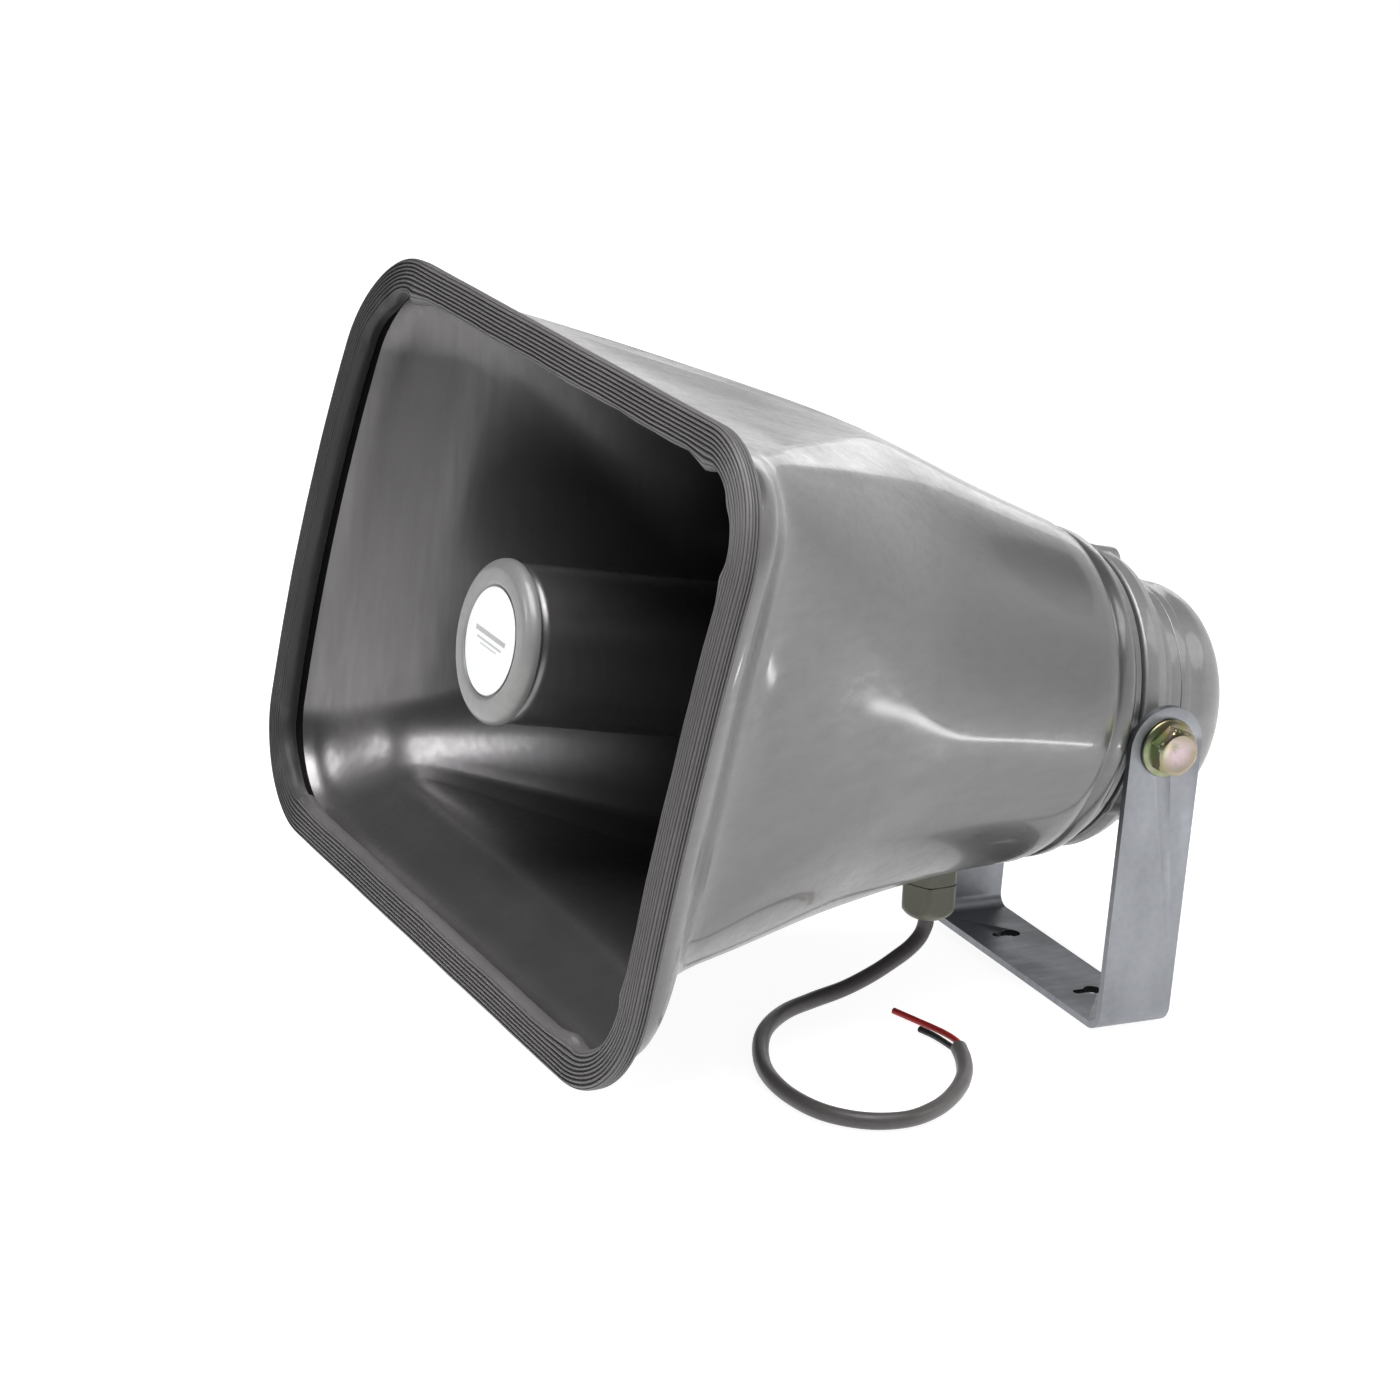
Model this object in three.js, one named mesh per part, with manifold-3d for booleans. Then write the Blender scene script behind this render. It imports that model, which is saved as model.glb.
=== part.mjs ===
// Re-entrant horn loudspeaker on a U-bracket.
// Millimetres. +Z up, the mouth faces -Y, X is across the mouth.
// The origin is the middle of the bracket base's underside.
import * as THREE from 'three';
import { mergeVertices } from 'three/addons/utils/BufferGeometryUtils.js';
import Module from 'manifold-3d';

// ---- driving dimensions -------------------------------------------------
const GAP = 0.3;                  // clearance kept between touching pieces
const LARGE = 40;                 // sides of a large round piece
const MEDIUM = 28;
const SMALL = 12;

// U-bracket
const STRIP_WIDTH = 28;
const STRIP_THICKNESS = 2.5;
const BRACKET_WIDTH = 113;        // outside to outside
const PIVOT_HEIGHT = 101.5;       // base underside to pivot axis
const BEND_RADIUS = 7;            // outside of the two bends
const KEYHOLE_OFFSET = 27;        // from the middle of the base
const KEYHOLE_LENGTH = 11;
const KEYHOLE_WIDE = 6.4;
const KEYHOLE_NARROW = 3.2;

// horn, measured forward from the pivot along the horn axis
const TILT = THREE.MathUtils.degToRad(9.2);
const BELL_THICKNESS = 1.8;
const REAR_RING = 10.8;           // rear edge of the bell
const REAR_RADIUS = 52.3;
const APEX = 106;                 // ring where the four flat panels run out
const APEX_RADIUS = 81;
const WAIST = 62;                 // the wall curves in a little here
const WAIST_RADIUS = 66.8;
const WAIST_RISE = 1.2;           // from the waist on, the ring's centre is above the axis
const KNEE = 196;                 // where the panels break into the flare
const KNEE_HALF_WIDTH = 112;
const KNEE_HALF_HEIGHT = 82.4;
const KNEE_RISE = 7.4;            // middle of the knee above the horn axis
const KNEE_CORNER = 22;
const FLARE_POWER = 1.25;
const MOUTH = 223;                // bell edge at the mouth corners
const MOUTH_HALF_WIDTH = 139.6;
const MOUTH_HALF_HEIGHT = 96.1;
const MOUTH_CORNER = 33;
const MOUTH_BOW = 4;              // how far the short sides bow forward
const MOUTH_SWELL = 2.2;           // and outward
const MOUTH_DROP = 2.4;           // middle of the mouth below the horn axis
const MOUTH_LEAN = 1.2;           // the lower edge reaches this far ahead, the upper as far back
const TRIM_WIDTH = 12;
const TRIM_DEPTH = 10;
const TRIM_SLOT_DEPTH = 6;
const COLLAR = 11;                // straight edge of the bell inside the trim

const NOSE_FRONT = 225.5;
const NOSE_CAP_DEPTH = 5.5;
const NOSE_RADIUS = 26.5;
const REFLECTOR_BACK = 62;
const REFLECTOR_BACK_RADIUS = 40;
const THROAT_END = 168;

// rear casting, driver and cover
const FLANGE_FRONT = 9.0;
const FLANGE_RADIUS = 52.2;
const FLANGE_BACK = -9;
const NECK_RADIUS = 43.0;
const NECK_BACK = -13;
const SPIGOT_RADIUS = 39.7;       // the cover slides over this
const SPIGOT_BACK = -17;
const ROOM_RADIUS = 38;           // inside the neck
const SEAL_THICKNESS = 0.6;
const COVER_RADIUS = 41.6;
const COVER_BACK = -38.5;
const LUG_BACK = -1;
const LUG_RADIUS = 46.5;
const LUG_SCREW_RADIUS = 45.5;
const SPOT_FACE = 4.4;
const LUG_ANGLES = [90, 210, 330];

// cable gland
const GLAND_FORWARD = 42.2;        // where its axis meets the bell wall
const GLAND_HEX = 18;             // across flats
const CABLE_HOLE_DROP = 35.4;     // hole for the inner cable, below the horn axis

// bolts and screws
const BOLT_RADIUS = 4;
const BOSS_RADIUS = 8.7;
const WASHER_ROOM = 1.5;          // between the boss and the arm
const SCREW_RADIUS = 2;
const SCREW_HOLE = 2.3;

// cable
const CABLE_RADIUS = 2.8;
const CORE_RADIUS = 1.1;

// ---- materials ------------------------------------------------------------
const paint = (color, roughness, metalness) =>
  new THREE.MeshStandardMaterial({ color, roughness, metalness });
const ENAMEL = [0x8b8b8b, 0.32, 0.1];
const RUBBER = [0x5f5d5d, 0.75, 0];
const ZINC = [0xa9acb3, 0.35, 0.9];
const YELLOW_ZINC = [0xb6a878, 0.3, 0.9];
const STEEL = [0x9a9a9c, 0.4, 0.9];
const OLIVE = [0x77776a, 0.5, 0];
const BLACK = [0x1c1c1c, 0.6, 0];

// ---- helpers --------------------------------------------------------------
const wasm = await Module();
wasm.setup();

function toSolid(geometry) {
  const bare = geometry.clone();
  for (const name of Object.keys(bare.attributes)) {
    if (name !== 'position') bare.deleteAttribute(name);
  }
  const merged = mergeVertices(bare, 1e-4);
  const faces = [];
  const index = merged.index.array;
  for (let i = 0; i < index.length; i += 3) {
    const [a, b, c] = [index[i], index[i + 1], index[i + 2]];
    if (a !== b && b !== c && c !== a) faces.push(a, b, c);
  }
  return new wasm.Manifold(new wasm.Mesh({
    numProp: 3,
    vertProperties: new Float32Array(merged.attributes.position.array),
    triVerts: new Uint32Array(faces),
  }));
}

function fromSolid(solid) {
  const mesh = solid.getMesh();
  const geometry = new THREE.BufferGeometry();
  geometry.setAttribute('position', new THREE.BufferAttribute(mesh.vertProperties, 3));
  geometry.setIndex(new THREE.BufferAttribute(mesh.triVerts, 1));
  geometry.computeVertexNormals();
  return geometry;
}

function join(...geometries) {
  return fromSolid(geometries.map(toSolid).reduce((sum, next) => sum.add(next)));
}

function cut(geometry, ...tools) {
  return fromSolid(tools.map(toSolid).reduce((left, tool) => left.subtract(tool), toSolid(geometry)));
}

function piece(name, geometry, finish) {
  const mesh = new THREE.Mesh(geometry, paint(...finish));
  mesh.name = name;
  return mesh;
}

// Turns [radius, forward] pairs about the horn axis. The profile closes on
// itself, or starts and ends on the axis.
function turned(profile, segments = LARGE) {
  const points = profile.map(([radius, forward]) => new THREE.Vector2(radius, -forward));
  if (points[0].x > 0) points.push(points[0].clone());
  if (THREE.ShapeUtils.area(points) < 0) points.reverse();
  return new THREE.LatheGeometry(points, segments);
}

// The same, but standing along Z: [radius, height] pairs.
function turnedUp(profile, segments = MEDIUM) {
  return turned(profile.map(([radius, height]) => [radius, -height]), segments).rotateX(Math.PI / 2);
}

// A prism with a regular section, standing along Z from z0 to z1.
function prism(acrossFlats, sides, z0, z1) {
  const radius = acrossFlats / 2 / Math.cos(Math.PI / sides);
  return new THREE.CylinderGeometry(radius, radius, z1 - z0, sides)
    .rotateX(Math.PI / 2).translate(0, 0, (z0 + z1) / 2);
}

function rodAlongAxis(radius, from, to, segments = MEDIUM) {
  return turned([[0, from], [radius, from], [radius, to], [0, to]], segments);
}

function tube(points, radius, steps, sides) {
  const outline = new THREE.Shape();
  outline.absarc(0, 0, radius, 0, Math.PI * 2);
  const path = new THREE.CatmullRomCurve3(points, false, 'centripetal');
  const section = new THREE.Shape(outline.getPoints(sides).slice(0, sides));
  return new THREE.ExtrudeGeometry(section, { steps, extrudePath: path, curveSegments: 1 });
}

// ---- bell -------------------------------------------------------------------
// Round part, from the rear ring with its rolled bead: [forward, radius].
const WALL_START = 26.5;
const WALL_START_RADIUS = 58.6;
const ROUND_PART = [
  [REAR_RING, REAR_RADIUS, 0], [14.2, 53.4, 0], [15.6, 55.9, 0], [18, 57.0, 0], [21, 57.2, 0],
  [23.5, 56.4, 0], [WALL_START, WALL_START_RADIUS, 0], [WAIST, WAIST_RADIUS, WAIST_RISE],
  [APEX, APEX_RADIUS, WAIST_RISE],
];
const CORNER_STEPS = 7;
const SIDE_STEPS = 6;
const SIDE_TURN = 0.05;           // half the turn of the round part that each side fans out from
const FLARE_STEPS = [0.3, 0.6, 0.85, 1];

const mix = THREE.MathUtils.lerp;

// Walks the columns of a section quarter by quarter: half a side, a corner,
// half a side. Calls back with the quarter and either a side or a corner step.
function columns(onSide, onCorner) {
  const list = [];
  for (let quarter = 0; quarter < 4; quarter += 1) {
    for (let i = 0; i < SIDE_STEPS; i += 1) list.push(onSide(quarter, (2 * i) / SIDE_STEPS - 1));
    for (let i = 0; i < CORNER_STEPS; i += 1) list.push(onCorner(quarter, i / CORNER_STEPS));
  }
  return list;
}

function circle(radius) {
  const at = (turn) => [radius * Math.cos(turn), radius * Math.sin(turn)];
  const quarterTurn = Math.PI / 2;
  return columns(
    (quarter, along) => at(quarter * quarterTurn + along * SIDE_TURN),
    (quarter, w) => at(quarter * quarterTurn + SIDE_TURN + w * (quarterTurn - 2 * SIDE_TURN)),
  );
}

function roundedRectangle(halfWidth, halfHeight, corner) {
  const [flatX, flatZ] = [halfWidth - corner, halfHeight - corner];
  const sides = [
    (along) => [halfWidth, along * flatZ], (along) => [-along * flatX, halfHeight],
    (along) => [-halfWidth, -along * flatZ], (along) => [along * flatX, -halfHeight],
  ];
  const middles = [[flatX, flatZ], [-flatX, flatZ], [-flatX, -flatZ], [flatX, -flatZ]];
  return columns(
    (quarter, along) => sides[quarter](along),
    (quarter, w) => {
      const turn = (quarter + w) * Math.PI / 2;
      const [x, z] = middles[quarter];
      return [x + corner * Math.cos(turn), z + corner * Math.sin(turn)];
    },
  );
}

function roundRow(forward, radius, rise) {
  return circle(radius).map(([x, z]) => new THREE.Vector3(x, -forward, z + rise));
}

// A row of the square part. The short sides bow forward and outward in the
// middle, and the mouth leans and drops a little, all growing from the knee.
function squareRow(forward, halfWidth, halfHeight, corner, grown) {
  const shift = mix(KNEE_RISE, -MOUTH_DROP, grown);
  return roundedRectangle(halfWidth, halfHeight, corner).map(([x, z]) => {
    const up = z / halfHeight;
    const middle = Math.abs(x / halfWidth) ** 6 * (1 - up ** 2) * grown;
    return new THREE.Vector3(
      x + Math.sign(x) * MOUTH_SWELL * middle,
      -forward - MOUTH_BOW * middle + MOUTH_LEAN * up * grown,
      z + shift,
    );
  });
}

function mouthRow(inset, back = 0) {
  return squareRow(
    MOUTH - back, MOUTH_HALF_WIDTH - inset, MOUTH_HALF_HEIGHT - inset, MOUTH_CORNER - inset, 1,
  );
}

// Every row of one side of the bell's wall, from the rear ring to the mouth.
function bellRows(inset) {
  const flare = [0, ...FLARE_STEPS].map((w) => squareRow(
    mix(KNEE, MOUTH - COLLAR, w), mix(KNEE_HALF_WIDTH, MOUTH_HALF_WIDTH, w ** FLARE_POWER) - inset,
    mix(KNEE_HALF_HEIGHT, MOUTH_HALF_HEIGHT, w ** FLARE_POWER) - inset,
    mix(KNEE_CORNER, MOUTH_CORNER, w) - inset, w,
  ));
  return [
    ...ROUND_PART.map(([forward, radius, rise]) => roundRow(forward, radius - inset, rise)),
    ...flare, mouthRow(inset),
  ];
}

// Skins a closed loop of closed rows of points.
function skinRows(rows) {
  const columns = rows[0].length;
  const position = rows.flat().flatMap((p) => [p.x, p.y, p.z]);
  const index = [];
  rows.forEach((row, r) => {
    const next = (r + 1) % rows.length;
    for (let c = 0; c < columns; c += 1) {
      const right = (c + 1) % columns;
      const [a, b] = [r * columns + c, r * columns + right];
      const [d, e] = [next * columns + c, next * columns + right];
      index.push(a, b, e, a, e, d);
    }
  });
  const geometry = new THREE.BufferGeometry();
  geometry.setAttribute('position', new THREE.Float32BufferAttribute(position, 3));
  geometry.setIndex(index);
  geometry.computeVertexNormals();
  return geometry;
}

function bellShell() {
  return skinRows([...bellRows(0), ...bellRows(BELL_THICKNESS).reverse()]);
}

// Rolled-in rear lip that the casting is screwed to.
function bellLip() {
  return turned([
    [REAR_RADIUS - 0.9, REAR_RING + 2.2], [41, REAR_RING + 2.2], [41, REAR_RING + 0.4],
    [REAR_RADIUS - 0.9, REAR_RING + 0.4],
  ], LARGE);
}

function bell(glandHole) {
  const screwHoles = lugTurns().map((turn) =>
    rodAlongAxis(SCREW_HOLE, REAR_RING - 3, REAR_RING + 6, SMALL)
      .translate(...onRing(LUG_SCREW_RADIUS, turn)));
  return cut(join(bellShell(), bellLip()), glandHole, ...screwHoles);
}

function lugTurns() {
  return LUG_ANGLES.map((degrees) => THREE.MathUtils.degToRad(degrees));
}

function onRing(radius, turn) {
  return [radius * Math.cos(turn), 0, radius * Math.sin(turn)];
}

// Rubber channel pushed over the bell's edge. Its section is given in
// [outward, forward] offsets from the middle of the edge.
function trimSection() {
  const slot = BELL_THICKNESS / 2 + GAP;
  const wall = TRIM_WIDTH / 2;
  const front = TRIM_DEPTH - TRIM_SLOT_DEPTH;
  const back = -TRIM_SLOT_DEPTH;
  return [
    [slot, GAP], [slot, back], [wall - 1, back + 1], [wall, -0.6], [wall - 1.4, front - 1],
    [0, front], [1.4 - wall, front - 1], [-wall, -0.6], [1 - wall, back + 1], [-slot, back],
    [-slot, GAP],
  ];
}

function trim() {
  const edge = mouthRow(BELL_THICKNESS / 2);
  const count = edge.length;
  const rows = trimSection().map(([outward, forward]) => edge.map((p, i) => {
    const before = edge[(i + count - 1) % count];
    const after = edge[(i + 1) % count];
    const normal = new THREE.Vector2(after.z - before.z, before.x - after.x).normalize();
    return new THREE.Vector3(p.x + outward * normal.x, p.y - forward, p.z + outward * normal.y);
  }));
  return skinRows(rows);
}

// ---- reflector, nose and throat ---------------------------------------------
function reflector() {
  const wall = 1.6;
  const shoulder = NOSE_FRONT - NOSE_CAP_DEPTH;
  const flare = REFLECTOR_BACK + 40;
  return turned([
    [0, shoulder], [NOSE_RADIUS - 2.5, shoulder], [NOSE_RADIUS - 1, shoulder - 2],
    [NOSE_RADIUS - 0.5, flare + 20], [NOSE_RADIUS + 2, flare],
    [NOSE_RADIUS + 7, REFLECTOR_BACK + 18], [REFLECTOR_BACK_RADIUS, REFLECTOR_BACK],
    [REFLECTOR_BACK_RADIUS - wall, REFLECTOR_BACK],
    [NOSE_RADIUS + 7 - wall, REFLECTOR_BACK + 18], [NOSE_RADIUS + 2 - wall, flare],
    [NOSE_RADIUS - 0.5 - wall, flare + 20], [NOSE_RADIUS - 1 - wall, shoulder - 8],
    [14, shoulder - 3], [0, shoulder - 2],
  ], LARGE);
}

function noseRing() {
  const back = NOSE_FRONT - NOSE_CAP_DEPTH + GAP;
  const round = 4.2;
  const profile = [[0, back], [NOSE_RADIUS - 0.6, back], [NOSE_RADIUS, back + 0.6]];
  for (let i = 0; i <= 4; i += 1) {
    const turn = (i / 4) * Math.PI / 2;
    profile.push([
      NOSE_RADIUS - round + round * Math.cos(turn), NOSE_FRONT - round + round * Math.sin(turn),
    ]);
  }
  profile.push([18.4, NOSE_FRONT], [17.6, NOSE_FRONT - 0.9], [0, NOSE_FRONT - 0.9]);
  return turned(profile, LARGE);
}

function labelDisc() {
  return turned([
    [0, NOSE_FRONT - 0.6], [17.2, NOSE_FRONT - 0.6], [17.2, NOSE_FRONT - 0.2], [0, NOSE_FRONT - 0.2],
  ], LARGE);
}

function throatTube() {
  return turned([
    [12.5, FLANGE_FRONT + GAP], [20, FLANGE_FRONT + GAP], [20, FLANGE_FRONT + 4],
    [14.2, FLANGE_FRONT + 5], [16.5, THROAT_END], [15.1, THROAT_END], [12.5, FLANGE_FRONT + 6],
  ], MEDIUM);
}

// Four-armed spider that centres the reflector on the throat tube.
function spider() {
  const back = REFLECTOR_BACK + 6;
  const hub = turned([[15.2, back], [17.2, back], [17.2, back + 14], [15.4, back + 14]], MEDIUM);
  const arms = [0, 1, 2, 3].map((i) =>
    new THREE.BoxGeometry(18.6, 10, 2).translate(25.6, -back - 5, 0)
      .rotateY(Math.PI / 4 + i * Math.PI / 2));
  const room = reflectorRoom();
  return fromSolid([hub, ...arms].map(toSolid).reduce((a, b) => a.add(b)).intersect(toSolid(room)));
}

// The space inside the reflector, with the clearance taken off.
function reflectorRoom() {
  const wall = 1.6 + GAP;
  const flare = REFLECTOR_BACK + 40;
  return turned([
    [0, REFLECTOR_BACK - 1], [REFLECTOR_BACK_RADIUS + 0.5 - wall, REFLECTOR_BACK - 1],
    [NOSE_RADIUS + 7 - wall, REFLECTOR_BACK + 18], [NOSE_RADIUS + 2 - wall, flare], [0, flare],
  ], LARGE);
}

// ---- rear casting -------------------------------------------------------------
function rearFlange() {
  const disc = turned([
    [9, FLANGE_FRONT], [FLANGE_RADIUS - 1, FLANGE_FRONT], [FLANGE_RADIUS, FLANGE_FRONT - 1.5],
    [FLANGE_RADIUS, 3], [FLANGE_RADIUS - 2.4, -1.5], [FLANGE_RADIUS - 6, -4.6],
    [NECK_RADIUS + 1, -6.6], [NECK_RADIUS, FLANGE_BACK], [NECK_RADIUS, NECK_BACK],
    [SPIGOT_RADIUS, NECK_BACK], [SPIGOT_RADIUS, SPIGOT_BACK], [ROOM_RADIUS, SPIGOT_BACK],
    [ROOM_RADIUS, 3], [12, 3], [9, 6],
  ], LARGE);
  const lugs = lugTurns().map((turn) =>
    rodAlongAxis(6.4, FLANGE_FRONT - 0.5, LUG_BACK, MEDIUM).translate(...onRing(LUG_RADIUS, turn)));
  const bosses = [-1, 1].map((side) =>
    new THREE.CylinderGeometry(BOSS_RADIUS, BOSS_RADIUS, 14, MEDIUM).rotateZ(Math.PI / 2)
      .translate(side * (insideArm() - WASHER_ROOM - 7), 0, 0));
  const boltHoles = [-1, 1].map((side) =>
    new THREE.CylinderGeometry(BOLT_RADIUS + GAP, BOLT_RADIUS + GAP, 26, MEDIUM).rotateZ(Math.PI / 2)
      .translate(side * (insideArm() - 5), 0, 0));
  const screwHoles = lugTurns().flatMap((turn) => [
    rodAlongAxis(SCREW_HOLE, FLANGE_FRONT + 2, -20, SMALL).translate(...onRing(LUG_SCREW_RADIUS, turn)),
    rodAlongAxis(SPOT_FACE, LUG_BACK, -20, MEDIUM).translate(...onRing(LUG_SCREW_RADIUS, turn)),
  ]);
  const cableHole = rodAlongAxis(3, FLANGE_FRONT + 2, 1, SMALL).translate(0, 0, -CABLE_HOLE_DROP);
  return cut(join(disc, ...lugs, ...bosses), ...boltHoles, ...screwHoles, cableHole, driverRoom());
}

// Clear room for the driver inside the casting.
function driverRoom() {
  return rodAlongAxis(ROOM_RADIUS, 3, SPIGOT_BACK - 3, LARGE);
}

function insideArm() {
  return BRACKET_WIDTH / 2 - STRIP_THICKNESS;
}

function bellGasket() {
  const ring = turned([
    [41.2, FLANGE_FRONT + GAP], [REAR_RADIUS - 2.2, FLANGE_FRONT + GAP],
    [REAR_RADIUS - 2.2, REAR_RING + 0.4 - GAP], [41.2, REAR_RING + 0.4 - GAP],
  ], LARGE);
  const holes = lugTurns().map((turn) =>
    rodAlongAxis(SCREW_HOLE, FLANGE_FRONT - 2, REAR_RING + 3, SMALL)
      .translate(...onRing(LUG_SCREW_RADIUS, turn)));
  return cut(ring, ...holes);
}

// Pan-head screw whose shank points forward from the seat.
function axialScrew(seat, headRadius, length) {
  const head = headRadius * 0.7;
  return turned([
    [0, seat - head], [headRadius * 0.7, seat - head], [headRadius, seat - head * 0.55],
    [headRadius, seat - GAP], [SCREW_RADIUS, seat - GAP], [SCREW_RADIUS, seat + length],
    [0, seat + length],
  ], SMALL + 2);
}

// ---- driver ---------------------------------------------------------------------
const DRIVER_FRONT = 2.6;
const COIL_RADIUS = 18.6;
const DRIVER_RADIUS = 33;

function phasePlug() {
  const ring = turned([
    [4.5, 8], [8.6, 8], [8.6, 2.6], [12.5, 1.6], [16, -0.4], [9, 0.9], [4.5, 2.4],
  ], MEDIUM);
  const core = turned([[0, 16], [2.6, 10], [3.4, 2.6], [0, 2.7]], SMALL + 2);
  const web = new THREE.BoxGeometry(12, 3, 1.2).translate(0, -5.5, 0);
  return join(ring, core, web);
}

function diaphragm() {
  const rise = 4.6;
  const dome = (t, drop) => [t * COIL_RADIUS, -3.4 + rise * (1 - t * t) - drop];
  const steps = [0, 0.25, 0.5, 0.75, 1];
  return turned([
    ...steps.map((t) => dome(t, 0)), [21, -2.4], [24.4, -3.4], [24.4, -3.9], [21, -2.9],
    ...steps.map((t) => dome(t, 0.5)).reverse(),
  ], MEDIUM);
}

function voiceCoil() {
  return turned([
    [COIL_RADIUS - 0.8, -4.3], [COIL_RADIUS + 0.2, -4.3], [COIL_RADIUS + 0.2, -12.5],
    [COIL_RADIUS - 0.8, -12.5],
  ], MEDIUM);
}

function diaphragmRing() {
  return turned([[25, DRIVER_FRONT], [33.6, DRIVER_FRONT], [33.6, -4.6], [25, -4.6]], MEDIUM);
}

function topPlate() {
  return turned([
    [COIL_RADIUS + 1, -5.2], [DRIVER_RADIUS, -5.2], [DRIVER_RADIUS, -10.2],
    [COIL_RADIUS + 1, -10.2],
  ], MEDIUM);
}

function magnet() {
  return turned([
    [COIL_RADIUS + 3.4, -10.5], [DRIVER_RADIUS - 1, -10.5], [DRIVER_RADIUS, -11.5],
    [DRIVER_RADIUS, -22], [DRIVER_RADIUS - 1, -23], [COIL_RADIUS + 3.4, -23],
  ], MEDIUM);
}

function yoke() {
  const body = turned([
    [0, -6.2], [COIL_RADIUS - 1.8, -6.2], [COIL_RADIUS - 1.8, -23.3], [DRIVER_RADIUS - 1, -23.3],
    [DRIVER_RADIUS - 1, -28], [0, -28],
  ], MEDIUM);
  const holes = coverScrewPlaces().map((place) =>
    rodAlongAxis(SCREW_HOLE, -29, -24.9, SMALL).translate(...place));
  return cut(body, ...holes);
}

function terminal(side) {
  return new THREE.BoxGeometry(4, 8, 0.8).translate(side * 6, 7.4, -34.6 + 0.4);
}

function driverCover() {
  const wall = 1.6;
  const back = COVER_BACK;
  const round = 17;
  const start = NECK_BACK - SEAL_THICKNESS - 2 * GAP;
  const outer = [[COVER_RADIUS + 0.8, start], [COVER_RADIUS + 0.8, start - 2.5],
    [COVER_RADIUS, start - 3.2]];
  const inner = [];
  for (let i = 0; i <= 5; i += 1) {
    const turn = (i / 5) * Math.PI / 2;
    const [c, s] = [Math.cos(turn), Math.sin(turn)];
    outer.push([COVER_RADIUS - round + round * c, back + round - round * s]);
    inner.push([COVER_RADIUS - round + (round - wall) * c, back + round - (round - wall) * s]);
  }
  inner.reverse();
  const shell = turned([
    ...outer, [0, back - 1.2], [0, back + wall - 1.2], ...inner, [COVER_RADIUS - wall, start],
  ], LARGE);
  const holes = coverScrewPlaces().map((place) =>
    rodAlongAxis(SCREW_HOLE, back - 4, back + 6, SMALL).translate(...place));
  return cut(shell, ...holes);
}

function coverScrewPlaces() {
  return lugTurns().map((turn) => onRing(15, turn));
}

function coverSeal() {
  const front = NECK_BACK - GAP;
  return turned([
    [SPIGOT_RADIUS + 0.5, front], [COVER_RADIUS + 0.2, front],
    [COVER_RADIUS + 0.2, front - SEAL_THICKNESS], [SPIGOT_RADIUS + 0.5, front - SEAL_THICKNESS],
  ], LARGE);
}

// ---- cable gland ------------------------------------------------------------------
// Built hanging along -Z from a seat at z = 0, then set square to the bell wall.
function glandBody() {
  const hex = prism(GLAND_HEX, 6, -8, -1.6 - GAP);
  const thread = turnedUp([[3.2, 7], [7, 7], [7, -3], [3.2, -3]], MEDIUM);
  const bore = turnedUp([[0, 9], [3.2, 9], [3.2, -10], [0, -10]], MEDIUM);
  return cut(join(hex, thread), bore);
}

function glandSeal() {
  return turnedUp([[7.4, -GAP], [9.4, -GAP], [9.4, -1.6], [7.4, -1.6]], MEDIUM);
}

function glandLocknut() {
  const hex = prism(17, 6, BELL_THICKNESS + 1.6, BELL_THICKNESS + 5);
  return cut(hex, turnedUp([[0, 12], [7.3, 12], [7.3, 0], [0, 0]], MEDIUM));
}

function glandNut() {
  const dome = [[CABLE_RADIUS + GAP, -8 - GAP], [GLAND_HEX / 2 * 1.13, -8 - GAP],
    [GLAND_HEX / 2 * 1.13, -15.6]];
  for (let i = 1; i <= 5; i += 1) {
    const turn = (i / 5) * Math.PI * 0.44;
    dome.push([3 + 7.1 * Math.cos(turn), -15.6 - 6.6 * Math.sin(turn)]);
  }
  dome.push([CABLE_RADIUS + GAP, -22]);
  return fromSolid(toSolid(turnedUp(dome, MEDIUM)).intersect(toSolid(prism(GLAND_HEX, 6, -24, -7))));
}

// Where the gland's axis meets the bell's underside, and the lean that sets
// it square to the wall there.
const GLAND_LEAN = Math.atan2(WAIST_RADIUS - WAIST_RISE - WALL_START_RADIUS, WAIST - WALL_START);
const GLAND_SEAT = -(WALL_START_RADIUS + (GLAND_FORWARD - WALL_START) * Math.tan(GLAND_LEAN));

function placeGland(object) {
  object.rotation.x = GLAND_LEAN;
  object.position.set(0, -GLAND_FORWARD, GLAND_SEAT);
  return object;
}

function glandHole() {
  return turnedUp([[0, 9], [7.3, 9], [7.3, -9], [0, -9]], MEDIUM)
    .rotateX(GLAND_LEAN).translate(0, -GLAND_FORWARD, GLAND_SEAT);
}

function innerCable() {
  const drop = -CABLE_HOLE_DROP;
  const points = [
    [0, -44, GLAND_SEAT + 9.2], [0, -45, GLAND_SEAT + 13.6], [0, -43.4, GLAND_SEAT + 18.4],
    [0, -38.6, GLAND_SEAT + 21.8], [0, -30, -37.8], [0, -21, drop - 0.6], [0, -13, drop],
    [0, -3.6, drop],
  ].map((p) => new THREE.Vector3(...p));
  return tube(points, CABLE_RADIUS - 0.4, 16, 8);
}

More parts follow.
